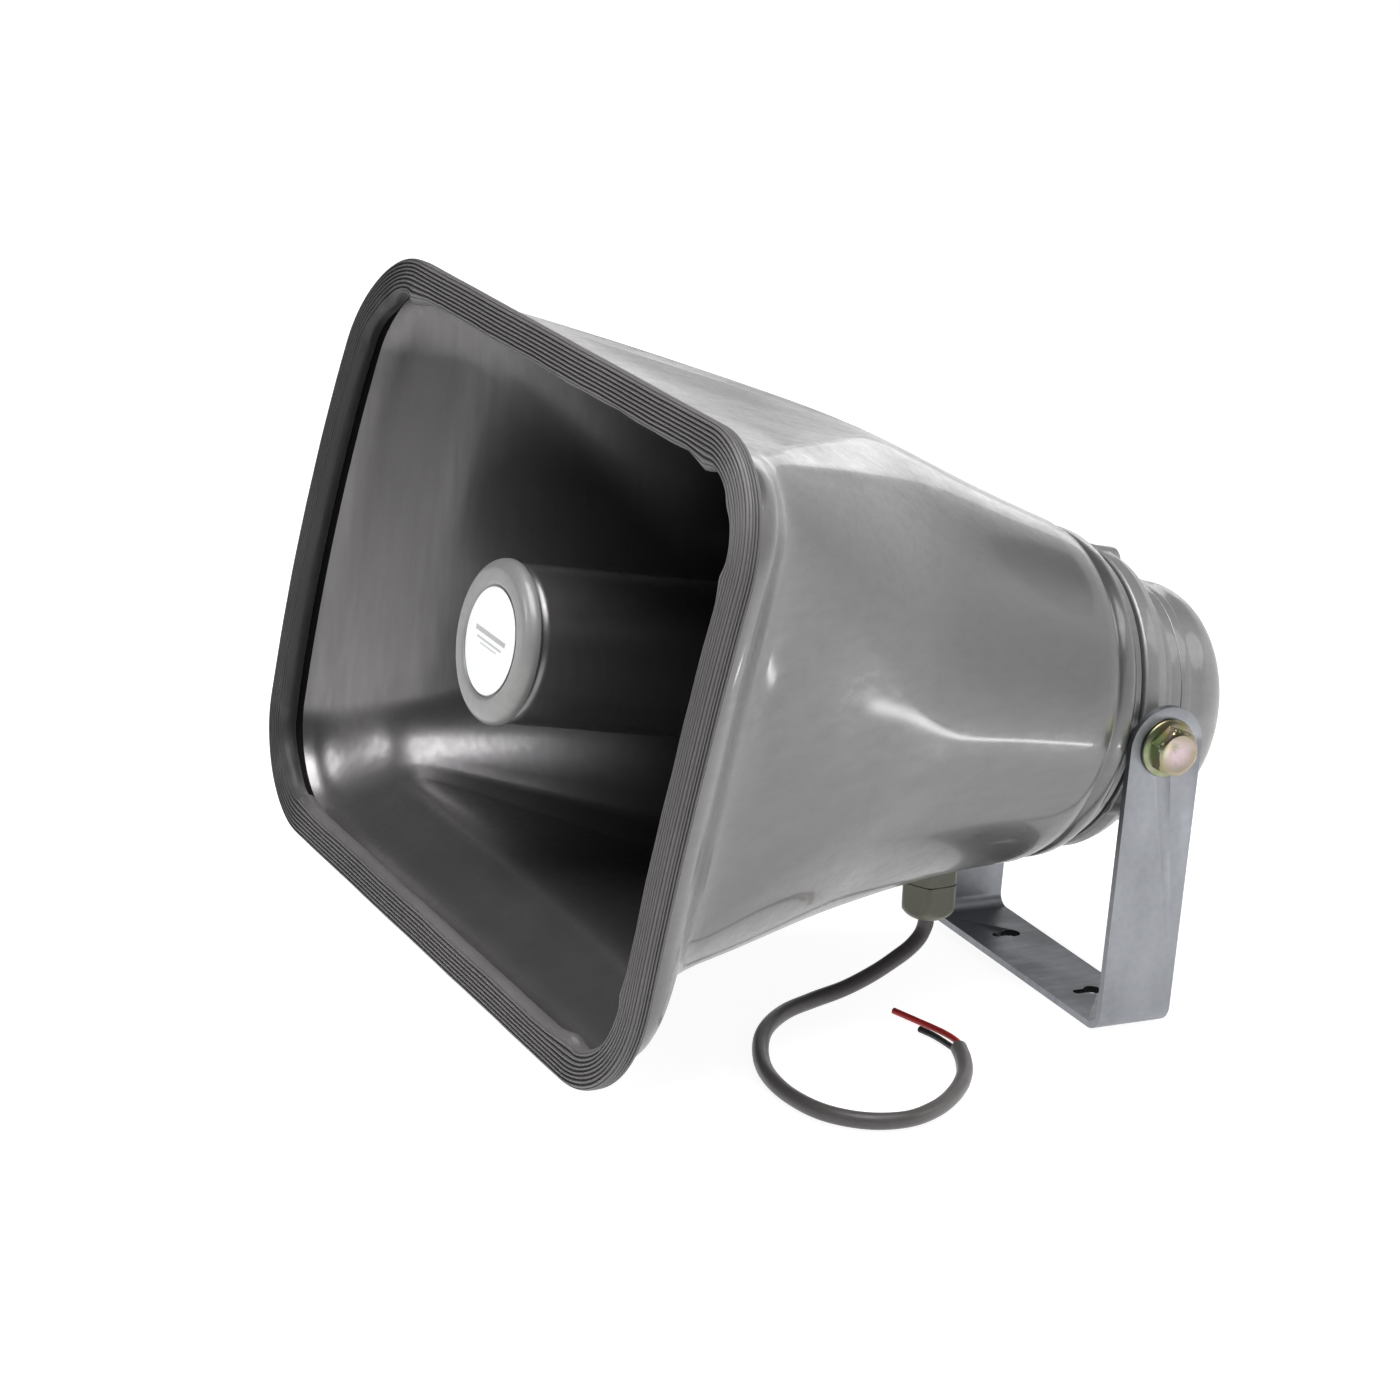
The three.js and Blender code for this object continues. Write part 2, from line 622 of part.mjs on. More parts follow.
// ---- bracket and its bolts -----------------------------------------------------------
// Outline of a strip bent into a U, with round-topped arms.
function bracket() {
  const half = BRACKET_WIDTH / 2;
  const inside = half - STRIP_THICKNESS;
  const bend = BEND_RADIUS;
  const tight = bend - STRIP_THICKNESS;
  const top = PIVOT_HEIGHT + STRIP_WIDTH / 2;
  const outline = new THREE.Shape();
  outline.moveTo(-half, top);
  outline.lineTo(-half, bend);
  outline.absarc(-half + bend, bend, bend, Math.PI, Math.PI * 1.5, false);
  outline.lineTo(half - bend, 0);
  outline.absarc(half - bend, bend, bend, -Math.PI / 2, 0, false);
  outline.lineTo(half, top);
  outline.lineTo(inside, top);
  outline.lineTo(inside, bend);
  outline.absarc(half - bend, bend, tight, 0, -Math.PI / 2, true);
  outline.lineTo(-half + bend, STRIP_THICKNESS);
  outline.absarc(-half + bend, bend, tight, -Math.PI / 2, -Math.PI, true);
  outline.lineTo(-inside, top);
  const strip = new THREE.ExtrudeGeometry(outline, {
    depth: STRIP_WIDTH, bevelEnabled: false, curveSegments: 6,
  }).rotateX(Math.PI / 2).translate(0, STRIP_WIDTH / 2, 0);
  const keyholes = [-1, 1].map((side) => keyhole().translate(side * KEYHOLE_OFFSET, 0, 0));
  const boltReach = BOLT_RADIUS + GAP;
  const boltHole = new THREE.CylinderGeometry(boltReach, boltReach, BRACKET_WIDTH + 10, MEDIUM)
    .rotateZ(Math.PI / 2).translate(0, 0, PIVOT_HEIGHT);
  const rounded = toSolid(strip).intersect(toSolid(armRounding()));
  const holes = [...keyholes, boltHole].map(toSolid);
  return fromSolid(holes.reduce((left, tool) => left.subtract(tool), rounded));
}

// Everything below the pivot, plus the round tops of the arms.
function armRounding() {
  const radius = STRIP_WIDTH / 2;
  const side = new THREE.Shape();
  side.moveTo(-radius - 1, -5);
  side.lineTo(radius + 1, -5);
  side.lineTo(radius + 1, PIVOT_HEIGHT);
  side.lineTo(radius, PIVOT_HEIGHT);
  side.absarc(0, PIVOT_HEIGHT, radius, 0, Math.PI, false);
  side.lineTo(-radius - 1, PIVOT_HEIGHT);
  return new THREE.ExtrudeGeometry(side, {
    depth: BRACKET_WIDTH + 10, bevelEnabled: false, curveSegments: 20,
  }).rotateX(Math.PI / 2).rotateZ(Math.PI / 2).translate(-(BRACKET_WIDTH + 10) / 2, 0, 0);
}

// A keyhole slot across the base, its narrow end towards -Y.
function keyhole() {
  const length = KEYHOLE_LENGTH / 2;
  const wide = KEYHOLE_WIDE / 2;
  const narrow = KEYHOLE_NARROW / 2;
  const shape = new THREE.Shape();
  shape.moveTo(-narrow, 0);
  shape.lineTo(-narrow, -length + narrow);
  shape.absarc(0, -length + narrow, narrow, Math.PI, Math.PI * 2, false);
  shape.lineTo(narrow, 0);
  shape.absarc(0, length - wide, wide, -Math.PI / 3, Math.PI * 4 / 3, false);
  return new THREE.ExtrudeGeometry(shape, { depth: 12, bevelEnabled: false, curveSegments: 8 })
    .translate(0, 0, -5);
}

// Flanged hex bolt along +X from the arm's outer face, M8.
function pivotBolt() {
  const seat = GAP;
  const flange = new THREE.CylinderGeometry(8.6, 9.2, 1.6, MEDIUM).rotateZ(-Math.PI / 2)
    .translate(seat + 0.8, 0, 0);
  const head = prism(13.2, 6, seat + 1, seat + 7).rotateY(Math.PI / 2);
  const crown = turnedUp([[0, -1], [8.4, -1], [8.4, seat + 5.6], [6.4, seat + 7], [0, seat + 7]], MEDIUM)
    .rotateY(Math.PI / 2);
  const shank = new THREE.CylinderGeometry(BOLT_RADIUS, BOLT_RADIUS, 15, MEDIUM).rotateZ(Math.PI / 2)
    .translate(seat - 7, 0, 0);
  const trimmed = toSolid(head).intersect(toSolid(crown));
  return fromSolid([flange, shank].map(toSolid).reduce((sum, next) => sum.add(next), trimmed));
}

function pivotWasher() {
  return turnedUp([[BOLT_RADIUS + GAP, 0.1], [8.6, 0.1], [8.6, 1.1], [BOLT_RADIUS + GAP, 1.1]], MEDIUM)
    .rotateY(Math.PI / 2);
}

// ---- cable --------------------------------------------------------------------------
// Route of the cable's middle: out of the gland, down to the surface and
// round in one open loop.
const CABLE_ROUTE = [
  [0, -51.0, 24.9], [0, -51.3, 21.9], [0.3, -53.1, 18.2], [1.0, -57.0, 14.9],
  [2.0, -63.6, 11.5], [3.2, -72.2, 7.9], [4.8, -83.6, 4.6], [7.6, -98.0, 2.9],
  [13.6, -111.5, 2.9], [24.6, -124.6, 2.9], [39.6, -134.6, 2.9], [57.0, -141.2, 2.9],
  [74.6, -142.2, 2.9], [89.6, -137.6, 2.9], [99.0, -127.4, 2.9], [101.6, -114.6, 2.9],
  [97.4, -101.8, 2.9], [88.6, -89.6, 2.9], [77.6, -79.6, 2.9], [66.4, -73.2, 2.9],
  [57.8, -69.8, 2.9],
].map((p) => new THREE.Vector3(...p));
const RED_ROUTE = [
  [57.4, -68.2, 2.6], [50.2, -66.6, 2.2], [41.6, -66.8, 1.6], [31.0, -70.0, 1.5], [20.8, -73.4, 1.5],
].map((p) => new THREE.Vector3(...p));
const BLACK_ROUTE = [
  [57.4, -71.0, 2.4], [50.0, -70.6, 1.8], [42.6, -70.9, 1.4], [37.0, -72.6, 1.4],
].map((p) => new THREE.Vector3(...p));

// ---- assembly -------------------------------------------------------------------------
const model = new THREE.Group();
const horn = new THREE.Group();
horn.position.set(0, 0, PIVOT_HEIGHT);
horn.rotation.x = -TILT;
model.add(horn);

horn.add(
  piece('bell', bell(glandHole()), ENAMEL),
  piece('bell_trim', trim(), RUBBER),
  piece('reflector', reflector(), ENAMEL),
  piece('nose_ring', noseRing(), ENAMEL),
  piece('label_disc', labelDisc(), [0xe8e8e8, 0.5, 0]),
  piece('throat_tube', throatTube(), ENAMEL),
  piece('reflector_spider', spider(), STEEL),
  piece('rear_flange', rearFlange(), ENAMEL),
  piece('bell_gasket', bellGasket(), BLACK),
  piece('phase_plug', phasePlug(), BLACK),
  piece('diaphragm', diaphragm(), [0x8a6a3a, 0.5, 0]),
  piece('voice_coil', voiceCoil(), [0xb06a3a, 0.4, 0.8]),
  piece('diaphragm_ring', diaphragmRing(), BLACK),
  piece('top_plate', topPlate(), STEEL),
  piece('magnet', magnet(), [0x3a3a3c, 0.7, 0.2]),
  piece('yoke', yoke(), STEEL),
  piece('driver_cover', driverCover(), ENAMEL),
  piece('cover_seal', coverSeal(), BLACK),
  piece('inner_cable', innerCable(), BLACK),
);
lugTurns().forEach((turn, i) => {
  const lug = piece(`flange_screw_${i + 1}`, axialScrew(LUG_BACK, 3.6, 16), ZINC);
  lug.position.set(...onRing(LUG_SCREW_RADIUS, turn));
  const back = piece(`cover_screw_${i + 1}`, axialScrew(COVER_BACK - 0.7, 3.6, 13), ZINC);
  back.position.set(...coverScrewPlaces()[i]);
  horn.add(lug, back);
});
[['terminal_red', 1], ['terminal_black', -1]].forEach(([name, side]) => {
  horn.add(piece(name, terminal(side), YELLOW_ZINC));
});
[['gland_body', glandBody(), OLIVE], ['gland_seal', glandSeal(), BLACK],
  ['gland_nut', glandNut(), OLIVE], ['gland_locknut', glandLocknut(), OLIVE],
].forEach(([name, geometry, finish]) => horn.add(placeGland(piece(name, geometry, finish))));

model.add(
  piece('cable', tube(CABLE_ROUTE, CABLE_RADIUS, 34, 10), [0x464444, 0.7, 0]),
  piece('core_red', tube(RED_ROUTE, CORE_RADIUS, 8, 8), [0xa81c1c, 0.5, 0]),
  piece('core_black', tube(BLACK_ROUTE, CORE_RADIUS, 6, 8), [0x141414, 0.5, 0]),
  piece('bracket', bracket(), ZINC),
);
[['left', -1], ['right', 1]].forEach(([name, side]) => {
  const bolt = piece(`pivot_bolt_${name}`, pivotBolt(), YELLOW_ZINC);
  bolt.position.set(side * BRACKET_WIDTH / 2, 0, PIVOT_HEIGHT);
  const washer = piece(`pivot_washer_${name}`, pivotWasher(), ZINC);
  washer.position.set(side * (insideArm() - 1.2 - GAP / 2), 0, PIVOT_HEIGHT);
  if (side < 0) {
    bolt.rotation.z = Math.PI;
    washer.rotation.z = Math.PI;
  }
  model.add(bolt, washer);
});

export default model;
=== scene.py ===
"""Looks for the horn loudspeaker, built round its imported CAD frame. Lengths in mm unless said."""
import math
import bmesh
import bpy
import numpy as np
from mathutils import Matrix, Vector


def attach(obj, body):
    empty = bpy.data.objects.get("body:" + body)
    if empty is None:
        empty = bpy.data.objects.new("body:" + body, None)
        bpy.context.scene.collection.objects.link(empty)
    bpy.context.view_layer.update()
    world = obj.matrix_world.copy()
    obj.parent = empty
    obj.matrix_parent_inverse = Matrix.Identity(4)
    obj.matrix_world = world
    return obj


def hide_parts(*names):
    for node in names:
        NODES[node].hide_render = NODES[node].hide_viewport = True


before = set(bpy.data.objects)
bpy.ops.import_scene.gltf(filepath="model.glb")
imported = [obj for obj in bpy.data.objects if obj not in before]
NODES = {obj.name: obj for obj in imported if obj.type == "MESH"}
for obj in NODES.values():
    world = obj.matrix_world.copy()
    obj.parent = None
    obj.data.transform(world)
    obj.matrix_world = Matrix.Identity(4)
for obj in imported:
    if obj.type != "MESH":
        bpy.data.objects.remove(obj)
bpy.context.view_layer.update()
MM = 0.001
SCENE = bpy.context.scene

# ---------------------------------------------------------------- sizes, as in the CAD
TILT = math.radians(9.2)
PIVOT = 101.5
WALL_START, WALL_START_RADIUS, APEX, APEX_RADIUS = 26.5, 58.6, 106.0, 81.0
WAIST, WAIST_RADIUS, WAIST_RISE = 62.0, 66.8, 1.2
KNEE, KNEE_W, KNEE_H, KNEE_RISE, KNEE_CORNER = 196.0, 112.0, 82.4, 7.4, 22.0
MOUTH, MOUTH_W, MOUTH_H, MOUTH_CORNER, COLLAR = 223.0, 139.6, 96.1, 33.0, 11.0
MOUTH_BOW, MOUTH_SWELL, MOUTH_DROP, MOUTH_LEAN = 4.0, 2.2, 2.4, 1.2
WALL, FLARE_POWER = 1.8, 1.25
NOSE_FRONT = 225.5
ARM_OUTER, STRIP_T, STRIP_W, BEND = 56.5, 2.5, 28.0, 7.0
GLAND_LEAN = math.atan2(WAIST_RADIUS - WAIST_RISE - WALL_START_RADIUS, WAIST - WALL_START)
GLAND_FORWARD = 42.2
GLAND_SEAT = -(WALL_START_RADIUS + (GLAND_FORWARD - WALL_START) * math.tan(GLAND_LEAN))

HORN = Matrix.Translation((0, 0, PIVOT * MM)) @ Matrix.Rotation(-TILT, 4, "X")
AXIS = HORN @ Matrix.Rotation(math.pi / 2, 4, "X")     # local z runs forward along the horn axis
GLAND = (HORN @ Matrix.Translation((0, -GLAND_FORWARD * MM, GLAND_SEAT * MM))
         @ Matrix.Rotation(GLAND_LEAN, 4, "X"))

# ---------------------------------------------------------------- camera
camera = bpy.data.objects.new("camera", bpy.data.cameras.new("camera"))
SCENE.collection.objects.link(camera)
camera.data.lens, camera.data.sensor_width = 98.16, 36.0
camera.data.clip_start, camera.data.clip_end = 0.05, 60.0
pitch, swing, roll = math.radians(18.23), math.radians(28.41), math.radians(4.55)
ahead = Vector((-math.cos(swing), math.sin(swing), 0))
level = Vector((math.sin(swing), math.cos(swing), 0))
down = -(Vector((0, 0, math.cos(pitch))) + ahead * math.sin(pitch))
gaze = ahead * math.cos(pitch) - Vector((0, 0, math.sin(pitch)))
right = level * math.cos(roll) - down * math.sin(roll)
below = level * math.sin(roll) + down * math.cos(roll)
camera.matrix_world = Matrix((
    (right.x, -below.x, -gaze.x, 1.0365), (right.y, -below.y, -gaze.y, -0.7065),
    (right.z, -below.z, -gaze.z, 0.4997), (0, 0, 0, 1)))
SCENE.camera = camera


# ---------------------------------------------------------------- mesh helpers
def piece(name, verts, faces, body, material, matrix=None, crease=32, scale=MM):
    """A new object from points and faces, smooth except at edges sharper than crease degrees."""
    mesh = bpy.data.meshes.new(name)
    mesh.from_pydata([tuple(c * scale for c in v) for v in verts], [], faces)
    if matrix is not None:
        mesh.transform(matrix)
    work = bmesh.new()
    work.from_mesh(mesh)
    bmesh.ops.remove_doubles(work, verts=work.verts, dist=1e-6)
    bmesh.ops.recalc_face_normals(work, faces=work.faces)
    work.to_mesh(mesh)
    work.free()
    mesh.shade_smooth()
    mesh.set_sharp_from_angle(angle=math.radians(crease))
    obj = bpy.data.objects.new(name, mesh)
    SCENE.collection.objects.link(obj)
    if material is not None:
        mesh.materials.append(material)
    if body:
        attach(obj, body)
    return obj


def loft(rows, closed_rows=False, cap=False):
    """Quads over rows of points; each row is a closed loop."""
    count = len(rows[0])
    verts = [tuple(p) for row in rows for p in row]
    faces = []
    for r in range(len(rows) if closed_rows else len(rows) - 1):
        n = (r + 1) % len(rows)
        for c in range(count):
            d = (c + 1) % count
            faces.append((r * count + c, r * count + d, n * count + d, n * count + c))
    if cap:
        faces.append(tuple(range(count))[::-1])
        faces.append(tuple((len(rows) - 1) * count + c for c in range(count)))
    return verts, faces


def soften(points, radius, steps=4, closed=False):
    """Rounds the corners of a polyline of (radius, height) pairs."""
    points = [np.array(p, float) for p in points]
    count = len(points)
    out = []
    for i, p in enumerate(points):
        if not closed and i in (0, count - 1):
            out.append(p)
            continue
        a, b = points[i - 1] - p, points[(i + 1) % count] - p
        la, lb = np.linalg.norm(a), np.linalg.norm(b)
        turn = math.acos(max(-1, min(1, float(a @ b) / (la * lb))))
        if turn > math.radians(174):
            out.append(p)
            continue
        reach = min(radius, la * 0.45, lb * 0.45)
        start, end = p + a / la * reach, p + b / lb * reach
        for k in range(steps + 1):
            t = k / steps
            out.append((1 - t) ** 2 * start + 2 * t * (1 - t) * p + t * t * end)
    return [tuple(p) for p in out]


def lathe(name, profile, body, material, matrix, segments=128, closed=True, crease=32):
    """Turns (radius, height) pairs about local z. Points on the axis become one vertex."""
    rows = [[(r * math.cos(t), r * math.sin(t), h)
             for t in (2 * math.pi * c / segments for c in range(segments))] for r, h in profile]
    verts, faces = loft(rows, closed_rows=closed)
    return piece(name, verts, faces, body, material, matrix, crease)


def tube(points, radius, sides, squeeze):
    """Rows of a round tube along points, on parallel-carried frames; squeeze scales the radius along it."""
    points = [Vector(p) for p in points]
    tangents = [(points[min(i + 1, len(points) - 1)] - points[max(i - 1, 0)]).normalized()
                for i in range(len(points))]
    side = tangents[0].orthogonal().normalized()
    rows = []
    for i, (p, t) in enumerate(zip(points, tangents)):
        side = (side - t * side.dot(t)).normalized()
        up = t.cross(side)
        r = squeeze(i / (len(points) - 1)) * radius
        rows.append([p + (side * math.cos(a) + up * math.sin(a)) * r
                     for a in (2 * math.pi * k / sides for k in range(sides))])
    return rows


def centripetal(points, per_span):
    """Catmull-Rom curve through points, centripetal, sampled per_span times a span."""
    p = [np.array(q, float) for q in points]
    p = [2 * p[0] - p[1]] + p + [2 * p[-1] - p[-2]]
    out = []
    for i in range(1, len(p) - 2):
        t = [0.0]
        for k in range(3):
            t.append(t[-1] + max(np.linalg.norm(p[i + k] - p[i + k - 1]), 1e-6) ** 0.5)
        for s in np.linspace(t[1], t[2], per_span, endpoint=False):
            a = [(t[k + 1] - s) / (t[k + 1] - t[k]) * p[i + k - 1]
                 + (s - t[k]) / (t[k + 1] - t[k]) * p[i + k] for k in range(3)]
            b = [(t[k + 2] - s) / (t[k + 2] - t[k]) * a[k]
                 + (s - t[k]) / (t[k + 2] - t[k]) * a[k + 1] for k in range(2)]
            out.append((t[2] - s) / (t[2] - t[1]) * b[0] + (s - t[1]) / (t[2] - t[1]) * b[1])
    out.append(p[-2])
    return out


def boolean(target, tool, operation="DIFFERENCE"):
    """Applies tool to target and removes it."""
    mod = target.modifiers.new("cut", "BOOLEAN")
    mod.operation, mod.solver, mod.object = operation, "MANIFOLD", tool
    bpy.context.view_layer.update()
    done = bpy.data.meshes.new_from_object(target.evaluated_get(bpy.context.evaluated_depsgraph_get()))
    target.modifiers.clear()
    target.data = done
    bpy.data.objects.remove(tool)


def sharpen(obj, crease=32):
    """Smooth shading, except at edges sharper than crease degrees."""
    obj.data.shade_smooth()
    obj.data.set_sharp_from_angle(angle=math.radians(crease))


def rounded(obj, width, segments, limit):
    """A small bevel on every edge sharper than limit degrees, applied."""
    mod = obj.modifiers.new("edge", "BEVEL")
    mod.width, mod.segments, mod.limit_method = width * MM, segments, "ANGLE"
    mod.angle_limit = math.radians(limit)
    mod.harden_normals = True
    bpy.context.view_layer.update()
    obj.data = bpy.data.meshes.new_from_object(
        obj.evaluated_get(bpy.context.evaluated_depsgraph_get()))
    obj.modifiers.clear()


# ---------------------------------------------------------------- materials
class Look:
    """A Principled material with a few layers of procedural detail in object coordinates."""

    def __init__(self, name, colour, roughness, metallic=0.0, **sockets):
        self.material = bpy.data.materials.new(name)
        self.material.use_nodes = True
        self.tree = self.material.node_tree
        self.shader = self.tree.nodes["Principled BSDF"]
        self.shader.inputs["Metallic"].default_value = metallic
        for key, value in sockets.items():
            self.shader.inputs[key.replace("_", " ")].default_value = value
        self.where = self.tree.nodes.new("ShaderNodeTexCoord").outputs["Object"]
        self.colour = self.node("ShaderNodeRGB").outputs[0]
        self.colour.default_value = (*colour, 1)
        self.base_roughness = roughness
        self.rough = None
        self.normal = None

    def node(self, kind, **inputs):
        made = self.tree.nodes.new(kind)
        for key, value in inputs.items():
            self.link(value, made.inputs[key.replace("_", " ")])
        return made

    def link(self, value, socket):
        if isinstance(value, bpy.types.NodeSocket):
            self.tree.links.new(value, socket)
        else:
            socket.default_value = value

    def math(self, operation, a, b=0.0):
        made = self.tree.nodes.new("ShaderNodeMath")
        made.operation = operation
        self.link(a, made.inputs[0])
        self.link(b, made.inputs[1])
        return made.outputs[0]

    def stretch(self, x, y, z):
        made = self.node("ShaderNodeMapping", Vector=self.where)
        made.inputs["Scale"].default_value = (x, y, z)
        return made.outputs[0]

    def noise(self, scale, detail=3.0, rough=0.55, vector=None, low=0.35, high=0.65):
        made = self.node("ShaderNodeTexNoise", Vector=vector or self.where, Scale=scale,
                         Detail=detail, Roughness=rough)
        return self.ramp(made.outputs["Fac"], low, high)

    def cells(self, scale, low, high):
        made = self.node("ShaderNodeTexVoronoi", Vector=self.where, Scale=scale)
        made.feature = "F1"
        return self.ramp(made.outputs["Distance"], low, high)

    def ramp(self, value, low, high):
        """0 where value is low and 1 where it is high, held there beyond them."""
        made = self.node("ShaderNodeMapRange", Value=value)
        made.clamp = True
        for key, number in (("From Min", low), ("From Max", high), ("To Min", 0.0), ("To Max", 1.0)):
            made.inputs[key].default_value = number
        return made.outputs[0]

    def axis(self, name, low, high):
        """0 at low and 1 at high along an object axis, in metres."""
        split = self.node("ShaderNodeSeparateXYZ", Vector=self.where)
        return self.ramp(split.outputs[name], low, high)

    def tint(self, mask, colour, strength=1.0):
        made = self.tree.nodes.new("ShaderNodeMix")
        made.data_type = "RGBA"
        self.link(self.math("MULTIPLY", mask, strength), made.inputs["Factor"])
        self.link(self.colour, made.inputs["A"])
        made.inputs["B"].default_value = (*colour, 1)
        self.colour = made.outputs["Result"]
        return self

    def gloss(self, mask, amount):
        so_far = self.base_roughness if self.rough is None else self.rough
        self.rough = self.math("ADD", self.math("MULTIPLY", mask, amount), so_far)
        return self

    def bump(self, height, depth, strength=1.0):
        made = self.node("ShaderNodeBump", Height=height, Strength=strength)
        made.inputs["Distance"].default_value = depth * MM
        if self.normal is not None:
            self.link(self.normal, made.inputs["Normal"])
        self.normal = made.outputs["Normal"]
        return self

    def done(self):
        self.link(self.colour, self.shader.inputs["Base Color"])
        if self.rough is None:
            self.shader.inputs["Roughness"].default_value = self.base_roughness
        else:
            self.link(self.rough, self.shader.inputs["Roughness"])
        if self.normal is not None:
            self.link(self.normal, self.shader.inputs["Normal"])
        return self.material


def enamel(name, colour, roughness, mottle=1.0, metallic=0.7):
    """Satin enamel with faint streaks, a low orange peel and painted shade that darkens its underside."""
    look = Look(name, colour, roughness, metallic,
                Coat_Weight=0.4, Coat_Roughness=0.08, Specular_IOR_Level=0.5)
    dark = tuple(c * 0.82 for c in colour)
    warm = (colour[0] * 1.06, colour[1] * 1.03, colour[2] * 0.97)
    look.tint(look.noise(9, 4, 0.6), dark, 0.30 * mottle)
    look.tint(look.noise(34, 5, 0.6, low=0.5, high=0.7), warm, 0.25 * mottle)
    look.tint(look.noise(900, 2, 0.6, low=0.55, high=0.75), dark, 0.10)
    streaks = look.noise(36, 4, 0.6, vector=look.stretch(8, 0.6, 8), low=0.38, high=0.68)
    look.tint(streaks, dark, 0.35 * mottle).gloss(streaks, 0.05)
    # painted shade: below 105 mm up the colour darkens, fully at 35 mm and lower
    underside_shade = look.axis("Z", 0.105, 0.035)
    look.tint(underside_shade, (colour[0] * 0.50, colour[1] * 0.50, colour[2] * 0.45), 0.85)
    look.gloss(look.noise(22, 4, 0.6), 0.10 * mottle).gloss(look.noise(420, 2), 0.05)
    look.bump(look.noise(330, 2, 0.5, low=0.2, high=0.8), 0.03, 0.3)
    look.bump(look.noise(24, 2, 0.5, low=0.2, high=0.8), 0.25, 0.25)
    return look.done()


ENAMEL = enamel("grey_enamel", (0.150, 0.150, 0.152), 0.25)
CAST = enamel("cast_enamel", (0.262, 0.262, 0.264), 0.40, 1.2, 0.6)
NOSE = enamel("nose_enamel", (0.27, 0.27, 0.268), 0.42, 1.0, 0.35)


def inner_enamel_lit_and_shaded():
    """The bell's inside: enamel made lighter as painted light, upright brush lines, and painted shade to
    almost black down the throat.
    """
    # painted light: a lighter base tone than the outer enamel, set for the light inside
    look = Look("inner_enamel_lit_and_shaded", (0.218, 0.211, 0.215), 0.28, 0.8, Coat_Weight=0.25, Coat_Roughness=0.14)
    look.tint(look.noise(9, 4, 0.6), (0.168, 0.162, 0.166), 0.5)
    strokes = look.noise(40, 4, 0.6, vector=look.stretch(9, 9, 0.7), low=0.35, high=0.7)
    look.tint(strokes, (0.155, 0.150, 0.153), 0.4)
    look.tint(look.noise(900, 2, 0.6, low=0.55, high=0.75), (0.15, 0.15, 0.15), 0.12)
    # painted shade: the colour darkens to almost black towards the throat, from 215 mm to 100 mm ahead of
    # the pivot
    deep = look.axis("Y", -0.215, -0.10)
    look.tint(look.math("POWER", deep, 0.8), (0.018, 0.018, 0.020), 0.95)
    look.gloss(strokes, 0.07).gloss(look.noise(22, 4), 0.08)
    look.bump(look.noise(300, 2, 0.5, low=0.2, high=0.8), 0.03, 0.4)
    look.bump(strokes, 0.03, 0.4)
    return look.done()


INNER_LIT_AND_SHADED = inner_enamel_lit_and_shaded()


def rubber(name, colour, roughness, far_side_shade=0.0, shine=0.45):
    """Matte rubber. Given a strength for it, painted shade darkens it towards its far side."""
    look = Look(name, colour, roughness,
                Specular_IOR_Level=shine, Sheen_Weight=shine / 9, Sheen_Roughness=0.5)
    look.tint(look.noise(40, 4), tuple(c * 1.35 for c in colour), 0.35)
    look.tint(look.noise(700, 3, low=0.5, high=0.7), tuple(c * 0.6 for c in colour), 0.3)
    warm = (colour[0] * 1.5, colour[1] * 1.45, colour[2] * 1.45)
    look.tint(look.noise(12, 3, low=0.5, high=0.7), warm, 0.3)
    if far_side_shade:
        # painted shade: darker from 100 mm to 124 mm out on the far (negative x) side
        look.tint(look.axis("X", -0.100, -0.124), tuple(c * 0.18 for c in colour), far_side_shade)
    look.gloss(look.noise(60, 4), -0.18)
    look.bump(look.noise(1500, 3, low=0.3, high=0.7), 0.03, 0.4)
    return look.done()


# the last number of the two trim rubbers is the strength of their painted shade on the far side
TRIM = rubber("trim_rubber", (0.108, 0.103, 0.105), 0.58, 0.95)
# a darker copy of the trim rubber: painted shade in the bottoms of the ribs' grooves
GROOVE_SHADE = rubber("trim_groove_shade", (0.058, 0.055, 0.056), 0.7, 0.92)
# the seals' rubber, also used as painted shadow: the black band inside the bell's collar beside the trim
SEAL_AND_GAP_SHADE = rubber("seal_rubber", (0.006, 0.006, 0.006), 0.8, shine=0.06)
SHEATH = rubber("cable_sheath", (0.078, 0.072, 0.072), 0.5)


def plated(name, colour, roughness, grain=None, spangle=0.0):
    """Bare or plated metal, with a grain along one axis and a crystal pattern where asked."""
    look = Look(name, colour, roughness, 1.0)
    if grain:
        fine = look.noise(60, 4, 0.6, vector=look.stretch(*grain), low=0.3, high=0.7)
        look.tint(fine, tuple(c * 0.78 for c in colour), 0.5).gloss(fine, 0.10)
        look.bump(fine, 0.02, 0.5)
    if spangle:
        look.tint(look.cells(380, low=0.2, high=0.8), tuple(c * 1.2 for c in colour), spangle)
    look.tint(look.noise(26, 5, 0.65, low=0.45, high=0.75), tuple(c * 0.7 for c in colour), 0.30)
    look.gloss(look.noise(45, 4), 0.10)
    look.bump(look.noise(260, 3), 0.03, 0.35)
    return look.done()


ZINC = plated("zinc_plate", (0.262, 0.271, 0.292), 0.32, grain=(6, 1, 0.35), spangle=0.25)
# painted shade: near-black metal for the keyholes' inner walls, so that the holes look dark
KEYHOLE_SHADE = plated("keyhole_wall_shade", (0.016, 0.016, 0.017), 0.6)
SCREW_ZINC = plated("screw_zinc", (0.60, 0.61, 0.63), 0.24)


